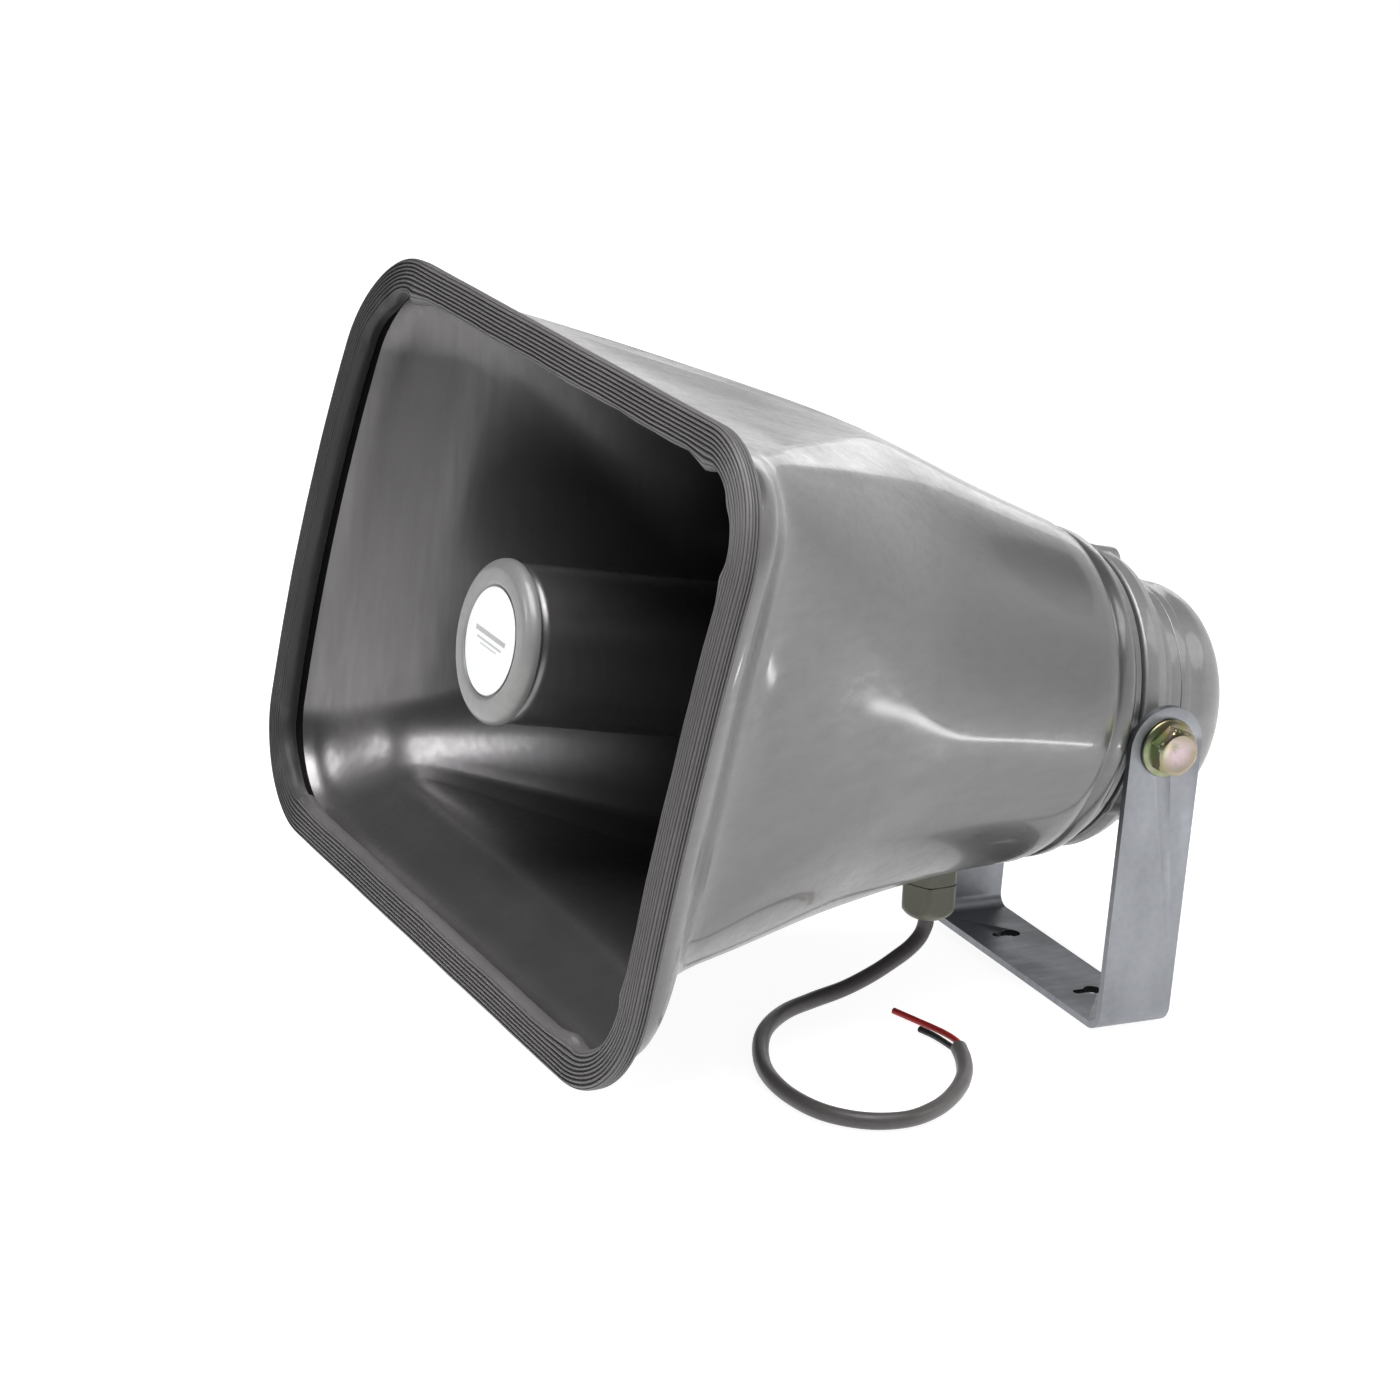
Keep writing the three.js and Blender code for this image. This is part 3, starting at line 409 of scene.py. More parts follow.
def bolt_look():
    """Yellow passivate: olive and gold outside, with a pink bloom on the middle of the face."""
    look = Look("yellow_zinc", (0.25, 0.225, 0.125), 0.24, 1.0)
    for scale, tone in ((75, (0.36, 0.30, 0.22)), (95, (0.20, 0.27, 0.15)), (120, (0.36, 0.30, 0.27))):
        look.tint(look.noise(scale, 2, 0.5, low=0.48, high=0.6), tone, 0.7)
    split = look.node("ShaderNodeSeparateXYZ", Vector=look.where)
    up = look.math("SUBTRACT", split.outputs["Z"], PIVOT * MM)
    off = look.math("SQRT", look.math("ADD", look.math("MULTIPLY", up, up),
                                      look.math("MULTIPLY", split.outputs["Y"], split.outputs["Y"])))
    bloom = look.math("MULTIPLY", look.ramp(off, 0.0075, 0.002), look.noise(160, 3, low=0.3, high=0.5))
    look.tint(bloom, (0.54, 0.42, 0.47), 0.85)
    look.gloss(look.noise(90, 4), 0.14)
    look.bump(look.noise(260, 3), 0.03, 0.35)
    return look.done()


YELLOW_ZINC = bolt_look()
STEEL = plated("turned_steel", (0.42, 0.42, 0.43), 0.34)


def plastic(name, colour, roughness=0.42, bump=0.03):
    """Moulded plastic with a fine texture, bump deep in mm."""
    look = Look(name, colour, roughness, Specular_IOR_Level=0.5)
    look.tint(look.noise(55, 4), tuple(c * 0.8 for c in colour), 0.4)
    look.tint(look.noise(500, 2, low=0.5, high=0.7), tuple(min(c * 1.2, 1) for c in colour), 0.2)
    look.gloss(look.noise(90, 3), 0.12)
    look.bump(look.noise(800, 2, low=0.3, high=0.7), bump, 0.5)
    return look.done()


OLIVE = plastic("gland_plastic", (0.125, 0.126, 0.094), 0.42)
BLACK_PLASTIC = plastic("black_plastic", (0.012, 0.012, 0.012))
RED = plastic("core_red", (0.42, 0.018, 0.016), 0.4)
BLACK_CORE = plastic("core_black", (0.010, 0.010, 0.010), 0.4)
FILM = plastic("diaphragm_film", (0.30, 0.16, 0.06), 0.5, 0.06)
FERRITE = plastic("ferrite", (0.03, 0.03, 0.032), 0.75, 0.08)
COPPER = plated("coil_wire", (0.72, 0.36, 0.20), 0.3, grain=(1, 30, 1))


def label_look():
    """Plain white film with three plain grey bars, drawn by formula."""
    look = Look("label_film", (0.90, 0.905, 0.91), 0.38, Coat_Weight=0.3, Coat_Roughness=0.1)
    look.tint(look.noise(80, 3), (0.80, 0.81, 0.82), 0.3)
    split = look.node("ShaderNodeSeparateXYZ", Vector=look.where)
    x, z = split.outputs["X"], split.outputs["Z"]
    height = (PIVOT + math.sin(TILT) * NOSE_FRONT) * MM
    up = look.math("SUBTRACT", z, height)

    def band(middle, half, long):
        away = look.math("ABSOLUTE", look.math("SUBTRACT", up, middle * MM))
        across = look.math("LESS_THAN", away, half * MM)
        along = look.math("LESS_THAN", look.math("ABSOLUTE", x), long * MM)
        return look.math("MULTIPLY", across, along)

    bars = ((1.6, 0.8, 11.0, 0.08), (-0.9, 0.4, 9.0, 0.2), (-2.4, 0.3, 6.0, 0.3))
    for middle, half, long, tone in bars:
        look.tint(band(middle, half, long), (tone, tone, tone * 1.1), 0.6)
    look.bump(look.noise(600, 2), 0.02, 0.3)
    return look.done()


LABEL = label_look()

for names, material in (
        (("reflector_spider", "top_plate", "yoke"), STEEL), (("magnet",), FERRITE),
        (("phase_plug", "diaphragm_ring"), BLACK_PLASTIC), (("diaphragm",), FILM),
        (("voice_coil",), COPPER), (("throat_tube",), INNER_LIT_AND_SHADED), (("inner_cable",), SHEATH),
        (("bell_gasket", "cover_seal", "gland_seal"), SEAL_AND_GAP_SHADE), (("gland_locknut",), OLIVE),
        (("terminal_red", "terminal_black"), YELLOW_ZINC),
        (("pivot_washer_left", "pivot_washer_right"), SCREW_ZINC)):
    for node in names:
        NODES[node].data.materials.clear()
        NODES[node].data.materials.append(material)
        sharpen(NODES[node])

# ---------------------------------------------------------------- cable and its cores
CABLE = [
    (0, -51.0, 24.9), (0, -51.3, 21.9), (0.3, -53.1, 18.2), (1.0, -57.0, 14.9),
    (2.0, -63.6, 11.5), (3.2, -72.2, 7.9), (4.8, -83.6, 4.6), (7.6, -98.0, 2.9),
    (13.6, -111.5, 2.9), (24.6, -124.6, 2.9), (39.6, -134.6, 2.9), (57.0, -141.2, 2.9),
    (74.6, -142.2, 2.9), (89.6, -137.6, 2.9), (99.0, -127.4, 2.9), (101.6, -114.6, 2.9),
    (97.4, -101.8, 2.9), (88.6, -89.6, 2.9), (77.6, -79.6, 2.9), (66.4, -73.2, 2.9),
    (57.8, -69.8, 2.9),
]
RED_ROUTE = [(57.4, -68.2, 2.6), (50.2, -66.6, 2.2), (41.6, -66.8, 1.6), (31.0, -70.0, 1.5),
             (20.8, -73.4, 1.5)]
BLACK_ROUTE = [(57.4, -71.0, 2.4), (50.0, -70.6, 1.8), (42.6, -70.9, 1.4), (37.0, -72.6, 1.4)]
CABLE_R, CORE_R = 2.8, 1.1
END_NARROWED = 0.86


def cord_piece(name, route, radius, material, node, sides=28):
    """A cord along route, very slightly uneven, with its two ends narrowed a little."""
    line = centripetal(route, 14)
    rows = tube(line, radius, sides, lambda t: 0.985 + 0.015 * math.sin(t * 61) * math.sin(t * 23))
    first, last = [Vector(p) for p in (line[0], line[-1])]
    rows = ([[first + (v - first) * END_NARROWED for v in rows[0]]] + rows
            + [[last + (v - last) * END_NARROWED for v in rows[-1]]])
    verts, faces = loft(rows, cap=True)
    obj = piece(name, verts, faces, "horn", material, crease=40)
    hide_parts(node)
    return obj, line


red, _ = cord_piece("core_red_wire", RED_ROUTE, CORE_R, RED, "core_red", sides=20)
black, _ = cord_piece("core_black_wire", BLACK_ROUTE, CORE_R, BLACK_CORE, "core_black", sides=20)
cable, cable_line = cord_piece("cable_sheath", CABLE, CABLE_R, SHEATH, "cable")


# ---------------------------------------------------------------- bell
def mix(a, b, t):
    """a at 0 and b at 1."""
    return a + (b - a) * t


CORNER_STEPS, SIDE_STEPS = 26, 18
QUARTER_STEPS = CORNER_STEPS + SIDE_STEPS
SIDE_TURN = 0.05


def columns(on_side, on_corner):
    """Four quarters of a loop: a side from -1 to 1, then a corner from 0 to 1."""
    out = []
    for quarter in range(4):
        out += [on_side(quarter, 2 * i / SIDE_STEPS - 1) for i in range(SIDE_STEPS)]
        out += [on_corner(quarter, i / CORNER_STEPS) for i in range(CORNER_STEPS)]
    return out


def circle(radius):
    """A circle in as many columns as a rectangle; each of its sides is SIDE_TURN either way."""
    quarter_turn = math.pi / 2

    def at(turn):
        return np.array((radius * math.cos(turn), radius * math.sin(turn)))

    return columns(
        lambda q, along: at(q * quarter_turn + along * SIDE_TURN),
        lambda q, w: at(q * quarter_turn + SIDE_TURN + w * (quarter_turn - 2 * SIDE_TURN)))


def rectangle(w, h, corner):
    """Half width, half height and corner radius."""
    fx, fz = w - corner, h - corner
    sides = [lambda a: (w, a * fz), lambda a: (-a * fx, h),
             lambda a: (-w, -a * fz), lambda a: (a * fx, -h)]
    middles = [(fx, fz), (-fx, fz), (-fx, -fz), (fx, -fz)]

    def bend(q, t):
        turn = (q + t) * math.pi / 2
        return np.array((middles[q][0] + corner * math.cos(turn),
                         middles[q][1] + corner * math.sin(turn)))

    return columns(lambda q, a: np.array(sides[q](a)), bend)


def round_row(forward, radius):
    """A row of the round wall, which rises a little towards its waist."""
    rise = float(np.interp(forward, (WALL_START, WAIST), (0, WAIST_RISE)))
    return np.array([(x, forward, z + rise) for x, z in circle(radius)])


def square_row(forward, w, h, corner, grown):
    """A row of the rectangular part; grown goes from 0 at the knee to 1 at the mouth."""
    shift = mix(KNEE_RISE, -MOUTH_DROP, grown)
    row = []
    for x, z in rectangle(w, h, corner):
        up = z / h
        middle = abs(x / w) ** 6 * (1 - up * up) * grown
        row.append((x + math.copysign(MOUTH_SWELL * middle, x),
                    forward + MOUTH_BOW * middle - MOUTH_LEAN * up * grown, z + shift))
    return np.array(row)


def flare_row(grown, inset):
    """A row of the flare, from the knee to where the collar starts."""
    opened = grown ** FLARE_POWER
    return square_row(mix(KNEE, MOUTH - COLLAR, grown), mix(KNEE_W, MOUTH_W, opened) - inset,
                      mix(KNEE_H, MOUTH_H, opened) - inset,
                      mix(KNEE_CORNER, MOUTH_CORNER, grown) - inset, grown)


def mouth_row(inset, back=0.0):
    """A row of the collar, back mm behind the mouth."""
    return square_row(MOUTH - back, MOUTH_W - inset, MOUTH_H - inset, MOUTH_CORNER - inset, 1)


RIDGE_HEIGHT = 1.1
PANEL_RADIUS = 90     # the lifts in RIDGES are true at this distance from the horn's axis
COLLAR_TAPER = 2.6
# (forward, radius) from the rear joint to where the wall starts
REAR_PROFILE = [
    (10.8, 52.3), (12.6, 53.0), (14.0, 53.5), (14.8, 54.6), (15.8, 55.7), (17.2, 56.4), (19.0, 56.85),
    (21.0, 57.15), (22.8, 57.2), (23.5, 57.05), (24.2, 57.4), (25.2, 57.9), (26.5, 58.45), (29.0, 59.4),
]
# The pressed creases from the corners to the ends of the top and bottom panels, in mm at every column.
RIDGES = np.zeros(4 * QUARTER_STEPS)
for quarter in range(4):
    for step, lift in ((0, 0.5), (1, 0.9), (2, 0.4), (6, 0.3), (7, 0.7), (8, 0.3)):
        away = CORNER_STEPS - step if quarter % 2 == 0 else step
        column = (quarter * QUARTER_STEPS + SIDE_STEPS + away) % len(RIDGES)
        RIDGES[column] = lift * RIDGE_HEIGHT


def bell_rows(inset):
    """The bell's rows from the rear joint to the mouth, drawn in by inset."""
    rows = [round_row(f, r - inset) for f, r in REAR_PROFILE]
    for forward in np.linspace(36, APEX, 9):
        radius = float(np.interp(forward, (29, WAIST, APEX), (59.4, WAIST_RADIUS, APEX_RADIUS)))
        rows.append(round_row(forward, radius - inset))
    first, last = rows[-1], flare_row(0, inset)
    for t in np.linspace(0, 1, 15)[1:]:
        row = mix(first, last, t)
        fade = math.sin(math.pi * min(1, 0.12 + t * 0.95)) ** 0.7
        row[:, 0::2] += row[:, 0::2] / PANEL_RADIUS * RIDGES[:, None] * fade
        rows.append(row)
    rows += [flare_row(w, inset + COLLAR_TAPER * w * w) for w in np.linspace(0, 1, 11)[1:]]
    rows += [mouth_row(inset + COLLAR_TAPER * back, COLLAR * back) for back in (0.8, 0.55, 0.3, 0)]
    return rows


def relax(rows, start, end, rounds):
    """Eases rows start to end - 1 towards their neighbours, so a fold becomes a soft bend."""
    rows = [row.copy() for row in rows]
    for _ in range(rounds):
        before = [row.copy() for row in rows]
        for i in range(start, end):
            rows[i] = before[i] * 0.5 + (before[i - 1] + before[i + 1]) * 0.25
    return rows


def to_horn(rows):
    """(x, forward, up) rows to horn coordinates."""
    return [[(x, -f, z) for x, f, z in row] for row in rows]


EASED = (15, 49, 5)               # start, end and rounds for relax
GAP_SHADE_ROWS, GAP_SHADE_SIDE = 2, 0.115     # rows and side limit, in metres, of the painted shadow: black inside the collar next to the trim
outer = relax(bell_rows(0), *EASED)
inner = relax(bell_rows(WALL), *EASED)
verts, faces = loft(to_horn(outer + inner[::-1]), closed_rows=True)
bell = piece("bell_shell", verts, faces, "horn", ENAMEL, HORN, crease=50)
bell.data.materials.append(INNER_LIT_AND_SHADED)
bell.data.materials.append(SEAL_AND_GAP_SHADE)
columns_round = 4 * QUARTER_STEPS
# inside faces take the inner enamel; the first rows by the mouth, beyond the side limit, take the black
# rubber as painted shadow
for face in bell.data.polygons[len(outer) * columns_round:]:
    in_gap_shade = face.index < (len(outer) + GAP_SHADE_ROWS) * columns_round and abs(face.center.x) > GAP_SHADE_SIDE
    face.material_index = 2 if in_gap_shade else 1
lip = lathe("bell_rear_lip",
            soften([(51.6, 13.0), (41.2, 13.0), (41.2, 11.2), (51.6, 11.2)], 0.4, closed=True),
            "horn", ENAMEL, AXIS)
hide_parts("bell")


# ---------------------------------------------------------------- trim
RIBS, RIB_DEPTH = 8, 1.0
RIM_RIBS = 3
RIM_STEPS, FACE_STEPS = 32, 132


def trim_section():
    """(outward, forward, in a groove) round the channel, from the slot's floor and back to it."""
    out = [(o, f, False) for o, f in ((1.2, 0.3), (1.2, -2.6), (1.5, -2.9), (2.4, -2.7),
                                      (4.0, -2.1), (5.2, -1.5))]
    for i in range(RIM_STEPS + 1):
        t = i / RIM_STEPS
        groove = (0.5 + 0.5 * math.cos(t * RIM_RIBS * 2 * math.pi)) ** 2 * RIB_DEPTH * 0.8 * min(1, t * 6)
        edge = 5.6 + 0.5 * math.sin(t * math.pi / 2)
        out.append((edge - groove, mix(-1.2, 2.2, t), groove > 0.45 * RIB_DEPTH))
    face = []
    for i in range(FACE_STEPS + 1):
        across = mix(6.0, -5.9, i / FACE_STEPS)
        edge = abs(across / 6.1)
        height = 4.0 - 0.35 * edge ** 2 - (1.7 * edge ** 12 if across > 0 else 2.9 * edge ** 7)
        ribbed = min(1, max(0, (5.75 - across) / 0.3)) * min(1, max(0, (across + 4.7) / 0.4))
        wave = 0.5 - 0.5 * math.cos((across + 4.7) / 10.4 * RIBS * 2 * math.pi)
        groove = RIB_DEPTH * ribbed * (1 - wave) ** 1.8
        face.append((across, height - groove, groove > 0.5 * RIB_DEPTH))
    back = [(o, f, False) for o, f in ((-6.0, -0.2), (-5.8, -1.0), (-5.2, -1.9), (-4.3, -2.5),
                                       (-3.0, -2.8), (-1.5, -2.9), (-1.2, -2.7), (-1.2, 0.3))]
    return out + face + back


def trim_rows():
    """The section carried round the mouth's edge, slightly uneven and puckered at the corners."""
    line = mouth_row(WALL / 2)
    count = len(line)
    step = np.roll(line, -1, 0) - np.roll(line, 1, 0)
    normal = np.stack([step[:, 2], -step[:, 0]], 1)
    normal /= np.linalg.norm(normal, axis=1)[:, None]
    run = np.concatenate([[0], np.cumsum(np.linalg.norm(np.diff(line, axis=0), axis=1))])
    whole = run[-1] + np.linalg.norm(line[0] - line[-1])
    puckers = []
    for quarter in range(4):
        corner = quarter * QUARTER_STEPS + SIDE_STEPS
        entry, leave = run[corner], run[(corner + CORNER_STEPS) % count]
        at_entry, at_leave = (2.6, 1.3) if quarter % 2 else (1.5, 2.2)
        puckers += [(entry, 6.0, at_entry), (leave, 5.0, at_leave), ((entry + leave) / 2, 7.0, 0.9)]
    rows = []
    for outward, forward, _ in trim_section():
        pull = max(0.0, -outward / 6.0) ** 1.5
        row = []
        for i in range(count):
            push, lift = 0.0, 0.0
            for middle, width, size in puckers:
                d = (run[i] - middle + whole / 2) % whole - whole / 2
                bell_curve = math.exp(-(d / width) ** 2)
                push += size * bell_curve * pull
                lift += 0.35 * size * bell_curve * pull * math.cos(d / width * 3)
            wander = 0.16 * math.sin(run[i] / 9.0) + 0.11 * math.sin(run[i] / 3.7 + outward)
            face = 1.0 if forward > -0.7 else 0.2
            o = outward - push + wander * face * (0.4 + pull)
            x, f, z = line[i]
            row.append((x + o * normal[i][0], f + forward + lift * face, z + o * normal[i][1]))
        rows.append(np.array(row))
    return rows


verts, faces = loft(to_horn(trim_rows()), closed_rows=True)
trim = piece("mouth_trim", verts, faces, "horn", TRIM, HORN, crease=60)
# painted shade: rows deep in a groove take the darker rubber
trim.data.materials.append(GROOVE_SHADE)
shaded_grooves = [row[2] for row in trim_section()]
for face in trim.data.polygons:
    face.material_index = int(shaded_grooves[min(face.index // columns_round, len(shaded_grooves) - 1)])
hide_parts("bell_trim")

# ---------------------------------------------------------------- reflector, nose ring and label
NOSE_ROUND, ROUND_STEPS = 4.2, 12
shoulder = NOSE_FRONT - 5.5
reflector = lathe("reflector_shell", soften([
    (0, shoulder), (24.0, shoulder), (25.5, shoulder - 2), (26.0, 122), (28.5, 102), (33.5, 80),
    (40, 62), (38.4, 62), (31.9, 80), (26.9, 102), (24.4, 122), (23.9, shoulder - 8), (14, shoulder - 3),
    (0, shoulder - 2)], 3.0, 6), "horn", INNER_LIT_AND_SHADED, AXIS, closed=False)
nose_profile = [(0, shoulder + 0.3), (25.9, shoulder + 0.3), (26.5, shoulder + 0.9)]
for i in range(ROUND_STEPS + 1):
    turn = i / ROUND_STEPS * math.pi / 2
    nose_profile.append((22.3 + NOSE_ROUND * math.cos(turn),
                         NOSE_FRONT - NOSE_ROUND + NOSE_ROUND * math.sin(turn)))
nose_profile += [(19.2, NOSE_FRONT), (18.5, NOSE_FRONT - 0.12), (18.0, NOSE_FRONT - 0.5),
                 (17.6, NOSE_FRONT - 0.9), (0, NOSE_FRONT - 0.9)]
nose = lathe("nose_cap", nose_profile, "horn", NOSE, AXIS, closed=False)
disc = lathe("nose_label", [(0, NOSE_FRONT - 0.6), (17.0, NOSE_FRONT - 0.6), (17.2, NOSE_FRONT - 0.45),
                            (17.1, NOSE_FRONT - 0.28), (16.9, NOSE_FRONT - 0.2), (0, NOSE_FRONT - 0.2)],
             "horn", LABEL, AXIS, closed=False)
for obj, node, slot in ((reflector, "reflector", "enamel_inner"), (nose, "nose_ring", "nose_paint"),
                        (disc, "label_disc", "label")):
    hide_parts(node)

# ---------------------------------------------------------------- rear casting and cover
LUG_TURNS = [math.radians(a) for a in (90, 210, 330)]
LUG_CIRCLE, SCREW_CIRCLE, BACK_SCREW_CIRCLE, HEAD_R = 46.5, 45.5, 15, 3.6
COVER_BACK = -38.5


def rod(radius, low, high, matrix, segments=48):
    """A plain cylinder along local z, for a boolean."""
    profile = [(0, low), (radius, low), (radius, high), (0, high)]
    return lathe("tool", profile, None, None, matrix, segments, closed=False)


def ring_place(radius, turn):
    """In the axis frame, local x is world x and local y is up."""
    return Matrix.Translation((radius * math.cos(turn) * MM, radius * math.sin(turn) * MM, 0))


casting = lathe("rear_casting", soften([
    (9, 9), (51.6, 8.7), (52.3, 8.0), (52.2, 3.4), (50.4, -0.8), (46.6, -4.0), (44.2, -6.4),
    (42.9, -8.6), (42.7, -13.05), (39.7, -13.0), (39.7, -17.0), (38.0, -17.0), (38.0, 3.0), (12.0, 3.0),
    (9, 6)],
    0.6, 3, closed=True), None, None, AXIS)
for turn in LUG_TURNS:
    lug = lathe("lug", soften([(0, 8.5), (6.4, 8.5), (6.4, -1.0), (0, -1.0)], 0.8), None, None,
                AXIS @ ring_place(LUG_CIRCLE, turn), 48, closed=False)
    boolean(casting, lug, "UNION")
for side in (-1, 1):
    boss = rod(8.7, 38.5, 52.5, HORN @ Matrix.Rotation(side * math.pi / 2, 4, "Y"))
    boolean(casting, boss, "UNION")
for turn in LUG_TURNS:
    boolean(casting, rod(4.4, -20, -1.0, AXIS @ ring_place(SCREW_CIRCLE, turn)))
boolean(casting, rod(38.0, -25, 3.0, AXIS, 128))
casting.data.materials.clear()
casting.data.materials.append(CAST)
sharpen(casting, 30)
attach(casting, "horn")
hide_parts("rear_flange")

SHOULDER_MIDDLE, SHOULDER_OUT, SHOULDER_IN, SHOULDER_STEPS = 24.6, 17, 15.4, 14
outside = [(41.95, -13.25), (42.3, -13.25), (42.4, -13.4), (42.4, -16.6), (42.2, -17.1),
           (41.75, -17.5), (41.58, -18.2)]
inside = []
for i in range(SHOULDER_STEPS + 1):
    turn = i / SHOULDER_STEPS * math.pi / 2
    for side, radius in ((outside, SHOULDER_OUT), (inside, SHOULDER_IN)):
        side.append((SHOULDER_MIDDLE + radius * math.cos(turn),
                     COVER_BACK + SHOULDER_OUT - radius * math.sin(turn)))
middle = [(12, COVER_BACK - 0.9), (0, COVER_BACK - 1.2), (0, COVER_BACK + 0.4)]
cover = lathe("round_cover", outside + middle + inside[::-1] + [(40.0, -14.2), (41.95, -14.2)],
              "horn", CAST, AXIS, closed=True)
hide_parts("driver_cover")


def pan_screw(name, seat, head_radius, length, place, node):
    """A cross-recess pan head, its shank pointing forward."""
    head = head_radius * 0.7
    top = seat - 0.3
    profile = [(0, top - head), (head_radius * 0.45, top - head + 0.05),
               (head_radius * 0.8, top - head * 0.8), (head_radius * 0.97, top - head * 0.45),
               (head_radius, top - 0.1), (head_radius * 0.98, top),
               (2.0, top), (2.0, seat + length - 0.8), (1.5, seat + length), (0, seat + length)]
    screw = lathe(name, profile, None, None, AXIS @ place, 40, closed=False)
    for turn in (0.4, 0.4 + math.pi / 2):
        slot = [(-head_radius * 0.55, -0.32), (head_radius * 0.55, -0.32), (head_radius * 0.55, 0.32),
                (-head_radius * 0.55, 0.32)]
        low = [(x, y, top - head - 1) for x, y in slot]
        high = [(x * 0.5, y * 0.8, top - head * 0.35) for x, y in slot]
        verts, faces = loft([low, high], cap=True)
        cutter = piece("cutter", verts, faces, None, None, AXIS @ place @ Matrix.Rotation(turn, 4, "Z"))
        boolean(screw, cutter)
    screw.data.materials.clear()
    screw.data.materials.append(SCREW_ZINC)
    sharpen(screw, 30)
    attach(screw, "horn")
    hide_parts(node)


for i, turn in enumerate(LUG_TURNS):
    pan_screw(f"lug_screw_{i + 1}", -1.0, HEAD_R, 16, ring_place(SCREW_CIRCLE, turn),
              f"flange_screw_{i + 1}")
    pan_screw(f"back_screw_{i + 1}", COVER_BACK - 0.7, HEAD_R, 13, ring_place(BACK_SCREW_CIRCLE, turn),
              f"cover_screw_{i + 1}")


# ---------------------------------------------------------------- hexagon pieces
BOLT_ACROSS, BOLT_TURN, GLAND_ACROSS = 14.7, 0.35, 18     # BOLT_TURN in radians
HEX_SEGMENTS, HEX_FROM = 180, 10
CORNER_EASED = 0.45


def hex_reach(across, turn):
    """From the middle to a hexagon's side, in the direction turn."""
    local = (turn + math.pi / 6) % (math.pi / 3) - math.pi / 6
    return across / 2 / math.cos(local)


def eased(across, turn):
    """The same with its corners slightly eased."""
    reach = hex_reach(across, turn)
    sharp = across / math.sqrt(3) - CORNER_EASED
    return min(reach, sharp + (reach - sharp) * 0.25) if reach > sharp else reach


def turned(name, profile, reach_at, body, material, matrix):
    """Rows of (radius limit, height), each held inside reach_at(row number, turn) too."""
    rows = []
    for i, (limit, height) in enumerate(profile):
        row = []
        for c in range(HEX_SEGMENTS):
            turn = 2 * math.pi * c / HEX_SEGMENTS
            r = min(reach_at(i, turn), limit)
            row.append((r * math.cos(turn), r * math.sin(turn), height))
        rows.append(row)
    verts, faces = loft(rows)
    return piece(name, verts, faces, body, material, matrix, crease=24)


def bolt(name, side, node):
    """Shank, round washer face and then the hexagon, whose rows start at HEX_FROM."""
    place = Matrix.Translation((side * ARM_OUTER * MM, 0, PIVOT * MM))
    outward = place @ Matrix.Rotation(side * math.pi / 2, 4, "Y")
    profile = [(0.01, -14.2), (3.4, -14.2), (4.0, -13.6), (4.0, 0.35), (9.1, 0.3), (9.9, 0.5),
               (10.1, 0.9), (9.9, 1.35), (9.2, 1.85), (8.5, 2.1), (8.5, 2.15), (8.5, 5.8), (8.1, 6.4),
               (7.5, 6.9), (6.9, 7.25), (6.5, 7.4), (5.9, 7.35), (5.0, 7.2), (3.2, 7.05), (1.2, 7.0),
               (0.01, 7.0)]
    obj = turned(name, profile,
                 lambda i, turn: math.inf if i < HEX_FROM else hex_reach(BOLT_ACROSS, turn + BOLT_TURN),
                 "horn", YELLOW_ZINC, outward)
    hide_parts(node)


bolt("hex_bolt_left", -1, "pivot_bolt_left")
bolt("hex_bolt_right", 1, "pivot_bolt_right")

base = [(3.2, 6.9), (3.2, 7.0), (6.6, 7.0), (7.0, 6.6), (7.0, -1.9), (9.6, -1.9),
        (10.1, -2.3), (10.1, -7.6), (9.7, -8.0), (3.2, -8.0), (3.2, 6.9)]
dome = [(3.1, -8.3), (9.9, -8.3), (10.15, -8.5), (10.15, -14.6)]
for i in range(1, 13):
    turn = i / 12 * math.pi * 0.44
    dome.append((3.0 + 7.1 * math.cos(turn), -15.5 - 6.5 * math.sin(turn)))
dome += [(4.0, -21.9), (3.5, -21.95), (3.15, -21.6), (3.1, -19.0), (3.1, -8.3)]
for name, profile, node in (("gland_base", base, "gland_body"), ("gland_dome", dome, "gland_nut")):
    obj = turned(name, profile, lambda i, turn: eased(GLAND_ACROSS, turn), "horn", OLIVE, GLAND)
    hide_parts(node)


# ---------------------------------------------------------------- bracket
KEYHOLE_X, SLOT_R, SLOT_END, HEAD_HOLE_R, HEAD_HOLE_Y = 27, 1.6, -3.9, 3.2, 2.3
PIVOT_HOLE_R, BEND_STEPS = 4.3, 14
PAST = 70                          # beyond the strip on either side, for the cutters


def keyhole(x_middle):
    """A cutter: a slot with a round end, opening into a screw head's hole."""
    outline = [(-SLOT_R, 0.0)]
    outline += [(SLOT_R * math.cos(t), SLOT_END + SLOT_R * math.sin(t))
                for t in np.linspace(math.pi, 2 * math.pi, 17)]
    outline.append((SLOT_R, 0.0))
    outline += [(HEAD_HOLE_R * math.cos(t), HEAD_HOLE_Y + HEAD_HOLE_R * math.sin(t))
                for t in np.linspace(-math.pi / 3, math.pi * 4 / 3, 37)]
    verts, faces = loft([[(x + x_middle, y, z) for x, y in outline] for z in (-5, 8)], cap=True)
    return piece("keyhole", verts, faces, None, None)


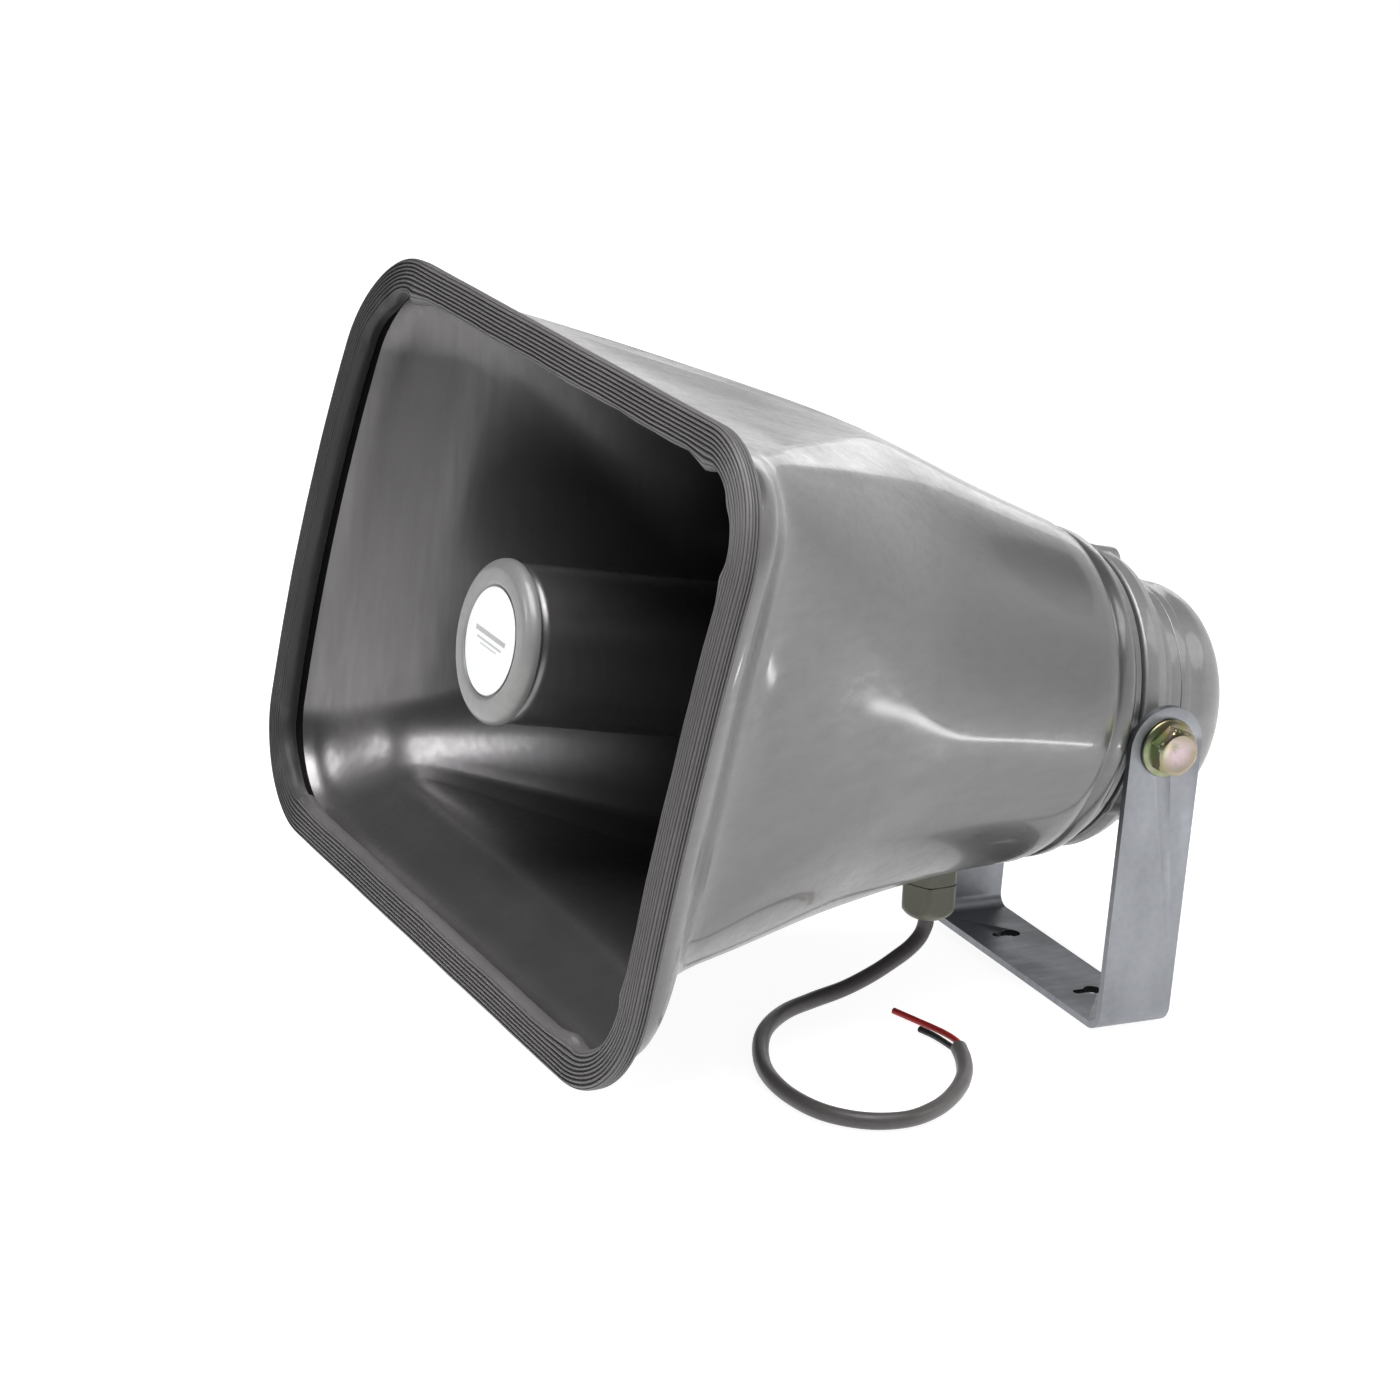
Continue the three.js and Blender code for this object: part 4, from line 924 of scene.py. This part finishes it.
def bracket():
    """One bent strip with round ends, pivot holes and two keyholes, its edges bevelled."""
    inside, tight = ARM_OUTER - STRIP_T, BEND - STRIP_T
    top = PIVOT + STRIP_W / 2
    out, back_side = [(-ARM_OUTER, top), (-ARM_OUTER, BEND)], [(inside, top), (inside, BEND)]
    for i in range(1, BEND_STEPS + 1):
        turn = i / BEND_STEPS * math.pi / 2
        out.append((-ARM_OUTER + BEND - BEND * math.cos(turn), BEND - BEND * math.sin(turn)))
        back_side.append((ARM_OUTER - BEND + tight * math.cos(turn), BEND - tight * math.sin(turn)))
    out += [(-x, z) for x, z in reversed(out)]
    back_side += [(-x, z) for x, z in reversed(back_side)]
    outline = out + back_side
    half = STRIP_W / 2
    near = [(x, -half, z) for x, z in outline]
    far = [(x, half, z) for x, z in outline]
    count = len(outline)
    faces = [tuple(range(count)), tuple(range(2 * count - 1, count - 1, -1))]
    faces += [(i, i + count, (i + 1) % count + count, (i + 1) % count) for i in range(count)]
    strip = piece("u_bracket", near + far, faces, None, None)
    side = [(-half - 2, -6), (half + 2, -6), (half + 2, PIVOT)]
    side += [(half * math.cos(t), PIVOT + half * math.sin(t)) for t in np.linspace(0, math.pi, 49)]
    side += [(-half - 2, PIVOT)]
    verts, faces = loft([[(x, y, z) for y, z in side] for x in (-PAST, PAST)], cap=True)
    boolean(strip, piece("rounding", verts, faces, None, None), "INTERSECT")
    pivot_axis = Matrix.Translation((0, 0, PIVOT * MM)) @ Matrix.Rotation(math.pi / 2, 4, "Y")
    boolean(strip, rod(PIVOT_HOLE_R, -PAST, PAST, pivot_axis))
    for sign in (-1, 1):
        boolean(strip, keyhole(sign * KEYHOLE_X))
    rounded(strip, width=0.35, segments=2, limit=40)
    strip.data.materials.clear()
    strip.data.materials.append(ZINC)
    strip.data.materials.append(KEYHOLE_SHADE)
    # painted shade: the keyholes' inner walls take the near-black metal
    for face in strip.data.polygons:
        x, y, z = (c / MM for c in face.center)
        if abs(abs(x) - KEYHOLE_X) < 3.4 and abs(y) < 5.7 and 0.1 < z < STRIP_T - 0.1:
            face.material_index = 1
    sharpen(strip, 28)
    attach(strip, "bracket_body")
    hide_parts("bracket")


bracket()


# ---------------------------------------------------------------- floor and light
def stage_material():
    """Pale paper that glows a little, so that it stays white round the object."""
    look = Look("floor_paper", (0.42, 0.42, 0.42), 0.9,
                Emission_Color=(1, 1, 1, 1), Emission_Strength=0.9, Specular_IOR_Level=0.1)
    look.tint(look.noise(6, 3), (0.40, 0.40, 0.405), 0.5)
    look.bump(look.noise(300, 3), 0.05, 0.2)
    return look.done()


def stage():
    """A level sheet that curves up behind the object. Lengths in metres."""
    rows, across, flat, sweep, low = 25, 9, 0.6, 2.2, -0.0005
    verts = []
    for i in range(rows):
        t = i / (rows - 1)
        if t < flat:
            y, z = -6 + 9 * t / flat, low
        else:
            turn = (t - flat) / (1 - flat) * math.pi / 2
            y, z = 3 + sweep * math.sin(turn), sweep - sweep * math.cos(turn) + low
        verts += [(x, y, z) for x in np.linspace(-6, 6, across)]
    faces = [(r * across + c, r * across + c + 1, (r + 1) * across + c + 1, (r + 1) * across + c)
             for r in range(rows - 1) for c in range(across - 1)]
    sheet = piece("floor", verts, faces, None, stage_material(), scale=1.0, crease=60)
    if sheet.data.polygons[0].normal.z < 0:
        sheet.data.flip_normals()
    return sheet


stage()


def lamp(name, place, aim, size, power, size_y=None):
    """A white rectangular lamp, size across and size_y up, lengths in metres."""
    data = bpy.data.lights.new(name, "AREA")
    data.shape = "RECTANGLE"
    data.size, data.size_y = size, size_y or size
    data.energy = power
    obj = bpy.data.objects.new(name, data)
    SCENE.collection.objects.link(obj)
    place, aim = Vector(place), Vector(aim)
    facing = (aim - place).to_track_quat("-Z", "Y")
    obj.matrix_world = Matrix.Translation(place) @ facing.to_matrix().to_4x4()
    return obj


lamp("top_box", (0.3, -0.3, 1.5), (0.05, -0.15, 0.1), 1.15, 33)
lamp("front_box", (-0.5, -2.4, 1.4), (0, -0.15, 0.12), 0.8, 15)
lamp("far_box", (-2.2, 1.4, 0.6), (0, -0.1, 0.12), 1.6, 5.5, size_y=0.8)
lamp("back_box", (0.6, 2.0, 1.55), (0, 0, 0.12), 1.2, 9, size_y=0.7)
low_strip = lamp("low_strip", (0.180, 0.172, 0.013), (0.074, -0.065, 0.116), 0.045, 0.016, size_y=0.005)
low_strip.visible_camera = False
world = bpy.data.worlds.new("studio")
SCENE.world = world
world.use_nodes = True
world.node_tree.nodes["Background"].inputs["Color"].default_value = (1, 1, 1, 1)
world.node_tree.nodes["Background"].inputs["Strength"].default_value = 0.06
SCENE.view_settings.view_transform = "Standard"
